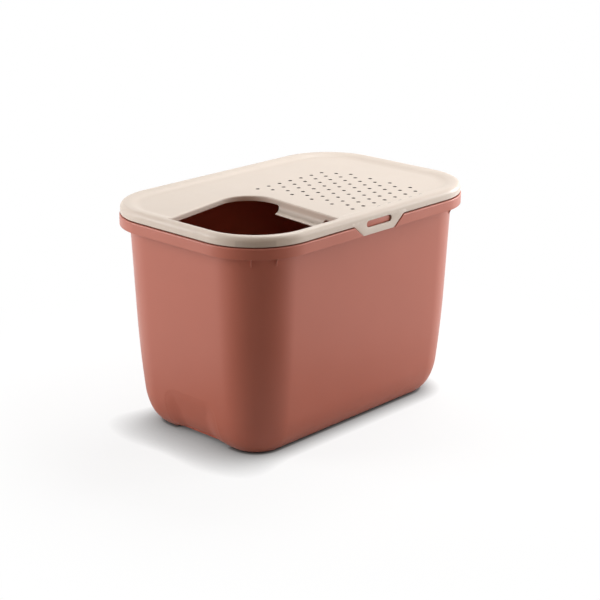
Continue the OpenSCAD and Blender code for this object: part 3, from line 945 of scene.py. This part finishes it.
def entry_rays(shape, beside):
    """The foot and outward direction of the ray from the rim to each point beside the entry."""
    centre = np.sign(beside) * (shape.corner_x, shape.corner_y)
    q = np.abs(beside) - (shape.corner_x, shape.corner_y)
    at_corner = (q.min(axis=1) > 0)[:, None]
    on_long = (q[:, 1] >= q[:, 0])[:, None]
    long_foot = np.stack([beside[:, 0], centre[:, 1]], axis=1)
    short_foot = np.stack([centre[:, 0], beside[:, 1]], axis=1)
    side_foot = np.where(on_long, long_foot, short_foot)
    side_out = np.sign(beside) * np.where(on_long, (0, 1), (1, 0))
    feet = np.where(at_corner, centre, side_foot)
    return feet, np.where(at_corner, unit(beside - centre), side_out)


def lid_rays(shape, beside, zone):
    """The rays of the lid's ring, and the inset at which each one ends.

    The first ones end beside the entry, and the others go on round the rim and end in the deck. Two
    rays stand at each end of a clip, and those near the highest holes, within the zone, are close.
    """
    end, corner_x, corner_y = shape.clip_end, shape.corner_x, shape.corner_y

    def spaced(low, high, step):
        return smoothly_spaced(low, high, step)[1:]

    before, within, past = FRONT_STEPS
    front = np.concatenate([
        [-end, -end], spaced(-end, zone[0], before), spaced(zone[0], end, within), [end],
        spaced(end, zone[1], within), spaced(zone[1], corner_x, past),
    ])
    stops = (-corner_x, -end, end, corner_x)
    back = np.concatenate([smoothly_spaced(*pair, BACK_STEP) for pair in zip(stops, stops[1:])])
    side = smoothly_spaced(-corner_y, corner_y, SIDE_STEP)
    last_side = smoothly_spaced(-corner_y, -beside[0][1], SIDE_STEP)[:-1]
    bends = [CORNER_BENDS] * 3 + [[]]
    feet, outward = rim_rays([front, side, back, last_side], bends, shape)
    limit = np.concatenate([shape.inset(beside), np.full(len(feet), shape.ring_in)])
    entry_feet, entry_out = entry_rays(shape, beside)
    return np.concatenate([entry_feet, feet]), np.concatenate([entry_out, outward]), limit


def lid_ring(shape, feet, outward, limit):
    """The points of the lid's ring, the first of each two columns at a clip's end, and those ends.

    Between a clip's ends the skirt's rows stop at the flex line, where the clip goes on.
    """
    lid, t, end = shape.box.lid, shape.box.tub.wall, shape.clip_end
    inward, inset, z = (row[:, None] for row in lid_rows(shape))
    blended = shape.crest_in + (limit - shape.crest_in) * inward
    height = np.where(z == 0, shape.top(blended), shape.under(blended))
    on_side = inward < 0
    at = np.where(on_side, inset, blended)
    level = np.where(on_side, z, height)

    straight = (np.abs(outward[:, 1]) > STRAIGHT) & (np.abs(feet[:, 0]) < shape.corner_x)
    x = np.where(straight, np.abs(feet[:, 0]), FAR)
    pairs = np.flatnonzero((np.abs(x - end) < TINY) & (np.abs(np.roll(x, -1) - end) < TINY))
    inside = x < end - TINY
    middle = feet[:, 0] * -np.sign(outward[:, 1])
    for k in pairs:
        inside[k if middle[k] > 0 else k + 1] = True
    low = on_side & (level < shape.flex_z)
    in_clip = inside & low
    at = np.where(in_clip, np.where(at < lid.step + t / 2, lid.step, lid.step + t), at)
    level = np.where(in_clip, shape.flex_z, level)
    ring = on_rays(feet, outward, shape.corner - at, level)
    skirt = np.flatnonzero(low[:, 0])
    skirt = np.arange(skirt[0] - 1, skirt[-1] + 2)
    return ring, pairs, [ring[skirt, k if middle[k] < 0 else k + 1] for k in pairs]


def lid_shell(shape):
    """The lid: a ring, two plates with the drain holes between them, and the entry's wall.

    The ring is the lid's section carried round the rim, as far in as the deck or the entry's edge.
    It stops short of the highest holes, and the plates reach round them.
    """
    points, normals, turn_back = entry_edge(shape)
    edge_points = points + (shape.box.tub.wall + HOLD) * normals
    beside = edge_points[:turn_back + 1]
    holes, radius = drain_holes(shape), shape.box.holes.diameter / 2
    reach = radius + shape.box.holes.rounding + HOLD
    high = holes[shape.inset(holes) < shape.ring_in + reach + 1 * MM]
    zone = high[:, 0].min() - 2 * reach, high[:, 0].max() + 2 * reach
    feet, outward, limit = lid_rays(shape, beside, zone)
    ring, pairs, clip_ends = lid_ring(shape, feet, outward, limit)

    in_zone = (feet[:, 0] > zone[0] - TINY) & (feet[:, 0] < zone[1] + TINY)
    in_front = (outward[:, 1] < -STRAIGHT) & (np.abs(feet[:, 0]) < shape.corner_x)
    z0, z1 = np.flatnonzero(in_front & in_zone)[[0, -1]]
    deep = DECK_ROWS - 1 - ZONE_ROWS
    keep = np.ones((len(ring) - 1, len(feet)), bool)
    keep[:, pairs] = False
    keep[:deep, z0:z1] = False
    keep[-deep:, z0:z1] = False
    made = Surface()
    made.grid(ring, around=True, keep=keep)
    for clip_end in clip_ends:
        made.loop_plate(clip_end)

    bend = np.linspace(0, 2 * HALF_TURN, CIRCLE_STEPS + 1)[:-1]
    circle = np.stack([np.cos(bend), np.sin(bend)], axis=1)
    x, y = np.meshgrid(
        np.arange(zone[0] + 2 * MM, zone[1] - 1 * MM, PLATE_STEPS[0]),
        np.arange(shape.crest_in + 10 * MM, shape.ring_in, PLATE_STEPS[1]) - shape.width / 2)
    extra = np.stack([x.ravel(), y.ravel()], axis=1)
    far = np.linalg.norm(extra[:, None] - holes[None], axis=2).min(axis=1) > reach + 1 * MM
    for row, step, face, r in ((0, 1, shape.top, reach), (len(ring) - 1, -1, shape.under, radius)):
        deeper = row + step * np.arange(deep + 1)
        path = np.concatenate([
            ring[row, len(beside) - 1:z0], ring[deeper, z0], ring[deeper[-1], z0 + 1:z1],
            ring[deeper[::-1], z1], ring[row, z1 + 1:], ring[row, :1],
        ])[:, :2]
        loop = np.concatenate([path, edge_points[:turn_back:-1]])
        rings = [hole + r * circle for hole in holes]
        flat, triangles = plate_triangles([loop] + rings, extra[far])
        made.add(np.concatenate([flat, face(shape.inset(flat))[:, None]], axis=1), triangles)

    drill(made, shape, holes, circle)
    made.grid(entry_wall(shape, points, normals), around=True)
    piece = made.finish("lid_shell", "lid")
    shade_insides(piece.data, shape, holes)
    return piece


def shade_insides(mesh, shape, holes):
    """Marks painted shade: fully on points in a drain hole, by a small share on those inside the entry.
    """
    place = np.zeros(3 * len(mesh.vertices))
    mesh.vertices.foreach_get("co", place)
    place, height = place.reshape(-1, 3)[:, :2], place[2::3]
    near = np.min([np.linalg.norm(place - hole, axis=1) for hole in holes], axis=0)
    painted_shade_inside = near < shape.box.holes.diameter / 2 + 0.8 * shape.box.holes.rounding
    sides = unit(np.roll(shape.entry_points, -1, axis=0) - shape.entry_points)
    inside = np.min([
        side[0] * (place[:, 1] - point[1]) - side[1] * (place[:, 0] - point[0])
        for side, point in zip(sides, shape.entry_points)], axis=0)
    # Painted shade: the entry's walls darken a little, more with depth below the deck
    painted_well_shade = ease(shape.deck_z - height, *WELL_DEPTHS) * (inside > -1 * MM)
    store(mesh, "painted_shade_inside", np.maximum(painted_shade_inside, WELL_SHADE * painted_well_shade))


def drill(made, shape, holes, circle):
    """Adds each drain hole's wall: a level ring, a quarter round and a bore to the underside."""
    sizes = shape.box.holes
    r = sizes.diameter / 2
    rim, drop = rounding(r, 0, sizes.rounding, sizes.rounding, 3)
    radius = np.concatenate([[r + sizes.rounding + HOLD], rim, [r]])
    drop = np.concatenate([[0], drop])
    flat = holes[:, None, None] + radius[None, :, None, None] * circle[None, None]
    inset = shape.inset(flat)
    top = shape.top(inset[:, :-1]) - drop[None, :, None]
    z = np.concatenate([top, shape.under(inset[:, -1:])], axis=1)
    points = np.concatenate([flat, z[..., None]], axis=-1)
    for one in points:
        made.grid(one, around=True)


WALL_STEPS = 22


def entry_wall(shape, points, normals):
    """Rows of the wall round the entry.

    Its centre line runs down, and along the lip it goes on round a quarter circle into a level
    shelf. Both faces lie half the wall's thickness from that line, and its end is round.
    """
    entry, t = shape.box.entry, shape.box.tub.wall
    half = t / 2
    lift = shape.inset(points)
    off_rim = ease(lift, entry.inset, entry.inset + 6 * MM)
    foot = shape.rim_z + (shape.entry_z - shape.rim_z) * off_rim
    along = (points - shape.entry_points[1]) @ shape.divider
    on_divider = normals @ np.array([shape.divider[1], -shape.divider[0]]) > 0.9999
    first, last = entry.lip_start, entry.lip_start + entry.lip_length
    rising = ease(along, first, first + entry.lip_sweep)
    curl = rising * (1 - ease(along, last - entry.lip_sweep, last))
    curl = np.where(on_divider, curl, 0)

    def spot(offset, z):
        flat = points + np.broadcast_to(offset, len(points))[:, None] * normals
        return np.concatenate([flat, z[:, None]], axis=1)

    def above(offset, face):
        return face(shape.inset(points + offset * normals))

    rows = [spot(t + HOLD, above(t + HOLD, shape.top))]
    rows += [spot(offset, above(offset, shape.top) - drop)
             for offset, drop in zip(*rounding(0, 0, t, t, 7))]
    start = above(0, shape.top) - t - 0.8 * MM
    bend_r = entry.lip_radius + half
    bend_z = (foot + half) * (1 - curl) + (shape.shelf_z + entry.lip_radius) * curl
    turn = HALF_TURN / 2 * curl
    shelf = (entry.lip_out - half - entry.lip_radius) * curl
    down = start - bend_z
    total = down + bend_r * turn + shelf
    front, back, cap = [], [], []
    for i in range(WALL_STEPS + 1):
        s = total * i / WALL_STEPS
        a = np.clip((s - down) / bend_r, 0, turn)
        past = np.maximum(s - down - bend_r * turn, 0)
        offset = half - bend_r * (1 - np.cos(a)) - past * np.sin(a)
        z = start - np.minimum(s, down) - bend_r * np.sin(a) - past * np.cos(a)
        front.append(spot(offset - half * np.cos(a), z + half * np.sin(a)))
        back.append(spot(offset + half * np.cos(a), z - half * np.sin(a)))
    for b in quarter(6, 90, -90)[1:-1]:
        side, ahead = half * np.sin(b), half * np.cos(b)
        out = offset - side * np.cos(turn) - ahead * np.sin(turn)
        cap.append(spot(out, z + side * np.sin(turn) - ahead * np.cos(turn)))
    rows += front + cap + back[::-1]
    rows += [spot(offset, above(offset, shape.under)) for offset in (t, t + HOLD)]
    return np.stack(rows)


def lid_ribs(shape):
    """The two ribs under the lid, each a plain section carried round the rim up to the entry."""
    lid, entry, t = shape.box.lid, shape.box.entry, shape.box.tub.wall
    points, normals, turn_back = entry_edge(shape)
    beside = (points + t / 2 * normals)[:turn_back + 1]
    inset = shape.inset(beside)
    locate_in = float(shape.inner_in(shape.rim_z - lid.locate)) + lid.fit
    made = Surface()
    for start, foot in ((entry.inset - t, shape.rim_z), (locate_in, shape.rim_z - lid.locate)):
        past = np.flatnonzero(inset < max(start + t / 2, entry.inset))
        x, y = shape.corner_x, shape.corner_y
        places = [smoothly_spaced(low, high, BACK_STEP) for low, high in (
            (beside[past[-1], 0], x), (-y, y), (-x, x), (-y, -beside[past[0], 1]))]
        feet, outward = rim_rays(places, [CORNER_BENDS] * 3 + [[]], shape)
        sunk = [[near, shape.under(near) + t / 2] for near in (start, start + t)]
        rows = np.array([sunk[0], [start, foot], [start + t, foot], sunk[1], sunk[0]])
        ring = on_rays(feet, outward, shape.corner - rows[:, :1], rows[:, 1:])
        made.grid(ring)
        made.loop_plate(ring[:-1, 0])
        made.loop_plate(ring[:-1, -1])
    return made.finish("lid_ribs", "lid")


def clip(shape, side):
    """A clip: its outline carried across its thickness, with a window cut through it.

    Its edges are rounded, except where it leaves the skirt.
    """
    clips, lid, t = shape.box.clips, shape.box.lid, shape.box.tub.wall
    end, low, top = shape.clip_end, clips.low, clips.top
    left = [
        [-end, shape.flex_z], [-end, shape.skirt_z], [-top, shape.skirt_z], [-low, shape.band_z]]
    corners = left + [[-x, z] for x, z in left[::-1]]
    steps = 10
    radii = [0, 0, clips.fillet, clips.corner]
    radii = np.array(radii + radii[::-1])
    outline, normals = rounded_outline(corners, radii, steps)
    within = np.tile(np.arange(steps + 1), len(corners))
    square = np.repeat(radii == 0, steps + 1)
    last = np.repeat(np.arange(len(corners)) < len(corners) / 2, steps + 1)
    chosen = ~square | np.where(last, within == steps, within == 0)
    outline, normals = outline[chosen], normals[chosen]
    free = np.where(normals[:, 1:] < -0.5, 1, 0)
    slot_edge, slot_normals = stadium(clips.window, clips.window_high)
    slot_edge = slot_edge + (0, shape.window_z)
    edge, thick = clips.edge, lid.step + t
    profile = list(zip(*rounding(0, lid.step, edge, edge, 4)))
    profile += [(offset, 2 * lid.step + t - depth) for offset, depth in profile[::-1]]
    placed = on_face(shape, side)
    made = Surface()
    rows = []
    for offset, depth in profile:
        level = np.where(free[:, 0] > 0, depth, lid.step if depth < lid.step + t / 2 else thick)
        rows.append(placed(outline - offset * free * normals, level))
    made.grid(np.stack(rows), around=True)
    slot_rows = [placed(slot_edge + offset * slot_normals, depth) for offset, depth in profile]
    made.grid(np.stack(slot_rows), around=True)
    flat, triangles = plate_triangles([
        outline - edge * free * normals, slot_edge + edge * slot_normals])
    for depth in (lid.step, thick):
        made.add(placed(flat, depth), triangles)
    which = "front" if side < 0 else "back"
    return made.finish("clip_" + which, which + "_clip")


NODE_STEP, NODES_IN_ROW = 220, 8


def feed(tree, made, inputs):
    """Gives each named input of a node a value or a link."""
    for name, value in inputs.items():
        if isinstance(value, bpy.types.NodeSocket):
            tree.links.new(value, made.inputs[name])
        else:
            made.inputs[name].default_value = value


def node(tree, kind, inputs=None, **settings):
    """Adds a node at the next free place, with its settings and inputs."""
    made = tree.nodes.new(kind)
    row, column = divmod(len(tree.nodes), NODES_IN_ROW)
    made.location = NODE_STEP * column, -NODE_STEP * row
    for name, value in settings.items():
        setattr(made, name, value)
    feed(tree, made, inputs or {})
    return made


def calc(tree, operation, *values):
    """The result of a calculation on numbers and sockets."""
    return node(tree, "ShaderNodeMath", dict(enumerate(values)), operation=operation).outputs[0]


def vector_calc(tree, operation, result, *values):
    """One result of a calculation on vectors."""
    made = node(tree, "ShaderNodeVectorMath", dict(enumerate(values)), operation=operation)
    return made.outputs[result]


def ramp(tree, value, start, end, first=0.0, last=1.0, kind="SMOOTHSTEP"):
    """first where the value is below start, last where it is above end, and a curve between."""
    given = {"Value": value, "From Min": start, "From Max": end, "To Min": first, "To Max": last}
    return node(tree, "ShaderNodeMapRange", given, interpolation_type=kind).outputs[0]


def white_light(tree, kind, strength):
    """A node of a kind that sends out plain white."""
    return node(tree, kind, {"Color": (*WHITE, 1), "Strength": strength}).outputs[0]


def mixed(tree, share, first, second):
    """The first shader where share is 0, and the second where it is 1."""
    return node(tree, "ShaderNodeMixShader", {0: share, 1: first, 2: second}).outputs[0]


# How many features a metre the finish's clouds, scuffs, smears and waves have
CLOUDS_PER_M, SCUFFS_PER_M, SMEARS_PER_M, WAVES_PER_M = 9, 140, 26, 14
# How much darker the painted shade makes the inside of a drain hole
HOLE_PAINTED_SHADE = 0.86
EDGE_WEAR = 0.4
SMEAR = 0.035
WAVE_HEIGHT = 8


def moulded_finish():
    """The finish of moulded plastic as a node group.

    The colour times one plus faint clouds, times one less the painted shade of holes and entry, is
    mixed with the paler edge colour by the wear of sharp edges.
    wear. The height is a fine grain plus slow waves.
    """
    found = bpy.data.node_groups.get("Moulded finish")
    if found:
        return found
    tree = bpy.data.node_groups.new("Moulded finish", "ShaderNodeTree")
    for way, kind, names in (
        ("INPUT", "Color", ("Colour", "Edge colour")),
        ("INPUT", "Float", ("Gloss", "Grain size", "Clouds")),
        ("OUTPUT", "Color", ("Colour",)),
        ("OUTPUT", "Float", ("Roughness", "Height")),
    ):
        for name in names:
            tree.interface.new_socket(name, in_out=way, socket_type="NodeSocket" + kind)
    given = node(tree, "NodeGroupInput").outputs
    place = node(tree, "ShaderNodeTexCoord").outputs["Object"]

    def stored(name):
        return node(tree, "ShaderNodeAttribute", attribute_name=name).outputs["Fac"]

    def noise(scale, detail, distortion=0.0):
        look = {"Vector": place, "Scale": scale, "Detail": detail, "Distortion": distortion}
        return node(tree, "ShaderNodeTexNoise", look).outputs["Fac"]

    # Painted shade: the colour is darkened inside drain holes, and a little in the entry's well
    painted_shade_kept = calc(tree, "ADD", calc(tree, "MULTIPLY", stored("painted_shade_inside"), -HOLE_PAINTED_SHADE), 1)
    cloud = calc(tree, "SUBTRACT", noise(CLOUDS_PER_M, 3), 0.5)
    cloud = calc(tree, "MULTIPLY", cloud, given["Clouds"])
    tone = calc(tree, "MULTIPLY", calc(tree, "ADD", cloud, 1), painted_shade_kept)
    shaded = node(tree, "ShaderNodeVectorMath", {
        0: given["Colour"], "Scale": tone}, operation="SCALE")

    scuffs = ramp(tree, noise(SCUFFS_PER_M, 2), 0.35, 0.65, kind="LINEAR")
    worn = calc(tree, "MULTIPLY", stored("worn_edge"), scuffs)
    worn = calc(tree, "MULTIPLY", calc(tree, "MULTIPLY", worn, painted_shade_kept), EDGE_WEAR)
    colour = node(tree, "ShaderNodeMix", {
        "Factor": worn, "A": shaded.outputs[0], "B": given["Edge colour"]}, data_type="RGBA")

    smear = ramp(tree, noise(SMEARS_PER_M, 4, 0.6), 0.3, 0.7, -SMEAR, SMEAR, "LINEAR")
    rough = calc(tree, "ADD", calc(tree, "ADD", given["Gloss"], smear), worn)
    grain = noise(calc(tree, "DIVIDE", 1, given["Grain size"]), 2)
    height = calc(tree, "ADD", grain, calc(tree, "MULTIPLY", noise(WAVES_PER_M, 1), WAVE_HEIGHT))
    node(tree, "NodeGroupOutput", {
        "Colour": colour.outputs["Result"], "Roughness": rough, "Height": height})
    return tree


CLOUD_DEPTH = 0.07
BUMP_STRENGTH = 0.6
PLASTIC_IOR = 1.49


def plastic(name, colour, edge_colour, roughness, mirror, grain, relief):
    """A moulded plastic: the shared finish feeds colour, roughness and bump."""
    found = bpy.data.materials.get(name)
    if found:
        return found
    made = bpy.data.materials.new(name)
    made.use_nodes = True
    tree = made.node_tree
    finish = node(tree, "ShaderNodeGroup", {
        "Colour": (*colour, 1), "Edge colour": (*edge_colour, 1), "Gloss": roughness,
        "Grain size": grain, "Clouds": CLOUD_DEPTH}, node_tree=moulded_finish()).outputs
    bump = node(tree, "ShaderNodeBump", {
        "Height": finish["Height"], "Strength": BUMP_STRENGTH, "Distance": relief})
    feed(tree, tree.nodes["Principled BSDF"], {
        "Base Color": finish["Colour"], "Roughness": finish["Roughness"],
        "Normal": bump.outputs["Normal"], "IOR": PLASTIC_IOR, "Specular IOR Level": mirror})
    return made


def tub_plastic(box):
    """The tub's terracotta plastic, paler on its worn edges."""
    look = box.finishes
    paler = tuple(0.6 * c + 0.4 * p for c, p in zip(look.tub, (0.75, 0.5, 0.42)))
    return plastic(
        "terracotta_plastic", look.tub, paler, look.tub_gloss, 0.5, look.grain, 0.04 * MM)


def lid_plastic(box):
    """The lid's cream plastic, paler on its worn edges."""
    look = box.finishes
    paler = (0.93, 0.88, 0.82)
    return plastic("cream_plastic", look.lid, paler, look.lid_gloss, 0.4, look.grain, 0.03 * MM)


def dress(piece, material):
    """Gives a piece its material."""
    piece.data.materials.append(material)


LAMP_SIZE = 1.2
LAMP_AIM = (0, 0, 0.2)
# Each lamp's name, place, watts, colour, and whether glossy faces mirror it
LAMPS = (
    ("left_lamp", (-1.798, 1.509, 0.699), 31.5, WHITE, True),
    ("left_high_lamp", (-1.506, 1.264, 1.577), 15, WHITE, True),
    ("right_lamp", (2.206, -0.803, 0.699), 42.5, WHITE, True),
    ("front_lamp", (1.509, -1.798, 0.699), 15, WHITE, True),
    ("corner_lamp", (-1.64, -1.54, 0.9), 5, (1, 0.68, 0.4), False),
    ("front_high_lamp", (0.771, -0.919, 2.278), 14, WHITE, True),
    ("top_lamp", (1.128, 0.41, 2.278), 33.5, WHITE, True),
)


def area_lamp(name, place, watts, tint, mirrored):
    """A soft square lamp that looks at the box. One that isn't mirrored leaves no highlight."""
    data = bpy.data.lights.new(name, "AREA")
    data.shape = "RECTANGLE"
    data.size, data.size_y, data.energy, data.color = LAMP_SIZE, LAMP_SIZE, watts, tint
    lamp = bpy.data.objects.new(name, data)
    lamp.location = place
    lamp.rotation_euler = (Vector(LAMP_AIM) - Vector(place)).to_track_quat("-Z", "Y").to_euler()
    lamp.visible_glossy = mirrored
    bpy.context.scene.collection.objects.link(lamp)


def seen_and_mirrored(tree):
    """Two masks: 1 for the camera's rays, and 1 for rays that a glossy or clear face sends on."""
    path = node(tree, "ShaderNodeLightPath").outputs
    mirrored = calc(tree, "MAXIMUM", path["Is Glossy Ray"], path["Is Transmission Ray"])
    return path["Is Camera Ray"], mirrored


def studio_world(strength):
    """White where it is seen or mirrored, and an even pale light everywhere else."""
    world = bpy.data.worlds.new("studio")
    world.use_nodes = True
    tree = world.node_tree
    tree.nodes.clear()
    white = calc(tree, "MAXIMUM", *seen_and_mirrored(tree))
    levels = [white_light(tree, "ShaderNodeBackground", level) for level in (strength, 1)]
    node(tree, "ShaderNodeOutputWorld", {"Surface": mixed(tree, white, *levels)})
    bpy.context.scene.world = world


FLOOR_REACH = 12
# Distances from the middle over which the floor turns white where it is seen, and mirrored
SEEN_FADE, MIRRORED_FADE = (0.45, 0.8), (0.3, 0.6)
# Greys of the lamplit floor where it only sends light on, and where it is seen
FLOOR_GREYS = (0.5, 0.95)
# The shade's reach falls from the first to the second over this stretch along X
SHADE_REACH, SHADE_STRETCH = (0.085, 0.032), (-0.31, -0.18)
SHADE_POWER, SHADE_POWER_ADDED = 22, 0.15
CONTACT_REACH, CONTACT_POWER = 5.5 * MM, 2.5
SHADE_SAMPLES = 12
SHADED_SHARE = 0.85
# The mirrored floor dims from 1 to this towards the camera, over these cosines of the angle
CAMERA_SIDE_LIGHT, CAMERA_SIDE = 0.08, (0.4, 0.9)


def studio_floor(azimuth):
    """A flat white floor that fades to plain white away from the box.

    Near the box it is part lit by the lamps and part shaded by how much of the sky the box hides:
    an open share raised to a power, once with a long reach and once close to the contact.
    """
    mesh = bpy.data.meshes.new("floor")
    corners = np.array([[-1, -1, 0], [1, -1, 0], [1, 1, 0], [-1, 1, 0]]) * FLOOR_REACH
    mesh.from_pydata(corners, [], [[0, 1, 2, 3]])
    floor = bpy.data.objects.new("floor", mesh)
    bpy.context.scene.collection.objects.link(floor)
    floor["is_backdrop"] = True
    made = bpy.data.materials.new("studio_floor")
    made.use_nodes = True
    mesh.materials.append(made)
    tree = made.node_tree
    tree.nodes.clear()
    seen, mirrored = seen_and_mirrored(tree)
    place = node(tree, "ShaderNodeTexCoord").outputs["Object"]
    away = vector_calc(tree, "LENGTH", "Value", place)
    share = calc(tree, "MAXIMUM", *(
        calc(tree, "MULTIPLY", mask, ramp(tree, away, *fade))
        for mask, fade in ((seen, SEEN_FADE), (mirrored, MIRRORED_FADE))))

    greys = [(grey, grey, grey, 1) for grey in FLOOR_GREYS]
    grey = node(tree, "ShaderNodeMix", {
        "Factor": seen, "A": greys[0], "B": greys[1]}, data_type="RGBA").outputs["Result"]
    lit = node(tree, "ShaderNodeBsdfDiffuse", {"Color": grey}).outputs[0]
    along = node(tree, "ShaderNodeSeparateXYZ", {0: place}).outputs["X"]
    reach = ramp(tree, along, *SHADE_STRETCH, *SHADE_REACH)
    power = calc(tree, "MULTIPLY_ADD", reach, SHADE_POWER, SHADE_POWER_ADDED)
    shades = []
    for distance, raised in ((reach, power), (CONTACT_REACH, CONTACT_POWER)):
        sky = node(
            tree, "ShaderNodeAmbientOcclusion", {"Distance": distance}, samples=SHADE_SAMPLES)
        shades.append(calc(tree, "POWER", sky.outputs["AO"], raised))
    shaded = white_light(tree, "ShaderNodeEmission", calc(tree, "MULTIPLY", *shades))
    near = mixed(tree, calc(tree, "MULTIPLY", seen, SHADED_SHARE), lit, shaded)

    to_camera = (math.sin(azimuth), -math.cos(azimuth), 0)
    facing = vector_calc(
        tree, "DOT_PRODUCT", "Value", vector_calc(tree, "NORMALIZE", "Vector", place), to_camera)
    dim = calc(tree, "MAXIMUM", ramp(tree, facing, *CAMERA_SIDE, 1, CAMERA_SIDE_LIGHT), seen)
    white = white_light(tree, "ShaderNodeEmission", dim)
    node(tree, "ShaderNodeOutputMaterial", {"Surface": mixed(tree, share, near, white)})


SENSOR_MM, FAR_CLIP = 36, 100
# The point that the camera looks at: its height, and its shift to the picture's right and down
AIM_HEIGHT, AIM_RIGHT, AIM_DOWN = 200 * MM, 9.97 * MM, 6.12 * MM


def studio_camera(stage):
    """A camera on a sphere round the point it looks at, turned about its own line of sight."""
    data = bpy.data.cameras.new("camera")
    data.lens = stage.lens
    data.sensor_width = SENSOR_MM
    data.sensor_fit = "HORIZONTAL"
    data.clip_end = FAR_CLIP
    a, e = stage.azimuth, stage.elevation
    right = Vector((math.cos(a), math.sin(a), 0))
    back = Vector((math.sin(a) * math.cos(e), -math.cos(a) * math.cos(e), math.sin(e)))
    up = back.cross(right)
    target = Vector((0, 0, AIM_HEIGHT)) + AIM_RIGHT * right - AIM_DOWN * up
    axes = Matrix((right, up, back)).transposed() @ Matrix.Rotation(stage.tilt, 3, "Z")
    camera = bpy.data.objects.new("camera", data)
    camera.matrix_world = Matrix.Translation(target + stage.distance * back) @ axes.to_4x4()
    bpy.context.scene.collection.objects.link(camera)
    bpy.context.scene.camera = camera


class LITTER_OT_tub(bpy.types.Operator):
    """Makes the tub's shell"""

    bl_idname = "litter.tub"
    bl_label = "Tub"

    def execute(self, context):
        box = context.scene.litter_box
        shell = tub_shell(Shape(box))
        dress(shell, tub_plastic(box))
        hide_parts("tub")
        return {"FINISHED"}


class LITTER_OT_tub_fittings(bpy.types.Operator):
    """Makes the stacking ribs under the tub's rim and the catches behind the clips"""

    bl_idname = "litter.tub_fittings"
    bl_label = "Ribs and catches"

    def execute(self, context):
        box = context.scene.litter_box
        shape = Shape(box)
        for piece in (corner_ribs(shape), catches(shape)):
            dress(piece, tub_plastic(box))
        return {"FINISHED"}


class LITTER_OT_lid(bpy.types.Operator):
    """Makes the lid with its entry, lip and drain holes, and the ribs under it"""

    bl_idname = "litter.lid"
    bl_label = "Lid"

    def execute(self, context):
        box = context.scene.litter_box
        shape = Shape(box)
        shell = lid_shell(shape)
        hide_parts("lid")
        for piece in (shell, lid_ribs(shape)):
            dress(piece, lid_plastic(box))
        return {"FINISHED"}


class LITTER_OT_clips(bpy.types.Operator):
    """Makes the lid's two clips"""

    bl_idname = "litter.clips"
    bl_label = "Clips"

    def execute(self, context):
        box = context.scene.litter_box
        for side, replaced in ((-1, "front_clip"), (1, "back_clip")):
            piece = clip(Shape(box), side)
            dress(piece, lid_plastic(box))
            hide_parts(replaced)
        return {"FINISHED"}


class LITTER_OT_stage(bpy.types.Operator):
    """Makes the floor, the light and the camera"""

    bl_idname = "litter.stage"
    bl_label = "Stage"

    def execute(self, context):
        stage = context.scene.litter_box.stage
        context.scene.view_settings.view_transform = "Standard"
        studio_floor(stage.azimuth)
        studio_world(stage.ambient)
        studio_camera(stage)
        for lamp in LAMPS:
            area_lamp(*lamp)
        return {"FINISHED"}


OPERATORS = (LITTER_OT_tub, LITTER_OT_tub_fittings, LITTER_OT_lid, LITTER_OT_clips, LITTER_OT_stage)


class LITTER_PT_panel(bpy.types.Panel):
    """Sizes of the litter box and the steps that make it"""

    bl_idname = "LITTER_PT_panel"
    bl_label = "Litter box"
    bl_space_type = "VIEW_3D"
    bl_region_type = "UI"
    bl_category = "Litter box"

    def draw(self, context):
        box = context.scene.litter_box
        for step in OPERATORS:
            self.layout.operator(step.bl_idname)
        for name in ("tub", "lid", "entry", "holes", "clips", "finishes", "stage"):
            group = getattr(box, name)
            part = self.layout.box()
            part.label(text=name.capitalize())
            for prop in group.bl_rna.properties:
                if prop.identifier not in ("rna_type", "name"):
                    part.prop(group, prop.identifier)


CLASSES = (
    TubSizes, LidSizes, EntrySizes, HoleSizes, ClipSizes, Finishes, StageSizes, LitterBox,
    *OPERATORS, LITTER_PT_panel,
)


def register():
    for cls in CLASSES:
        bpy.utils.register_class(cls)
    bpy.types.Scene.litter_box = bpy.props.PointerProperty(type=LitterBox, name="Litter box")


def unregister():
    del bpy.types.Scene.litter_box
    for cls in reversed(CLASSES):
        bpy.utils.unregister_class(cls)


def main():
    register()
    bpy.ops.litter.tub()
    bpy.ops.litter.tub_fittings()
    bpy.ops.litter.lid()
    bpy.ops.litter.clips()
    bpy.ops.litter.stage()
    boxes = {"cad": CAD_BOX, "visual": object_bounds()}
    plain = {name: [[float(v) for v in corner] for corner in corners] for name, corners in boxes.items()}


if __name__ == "__main__":
    main()
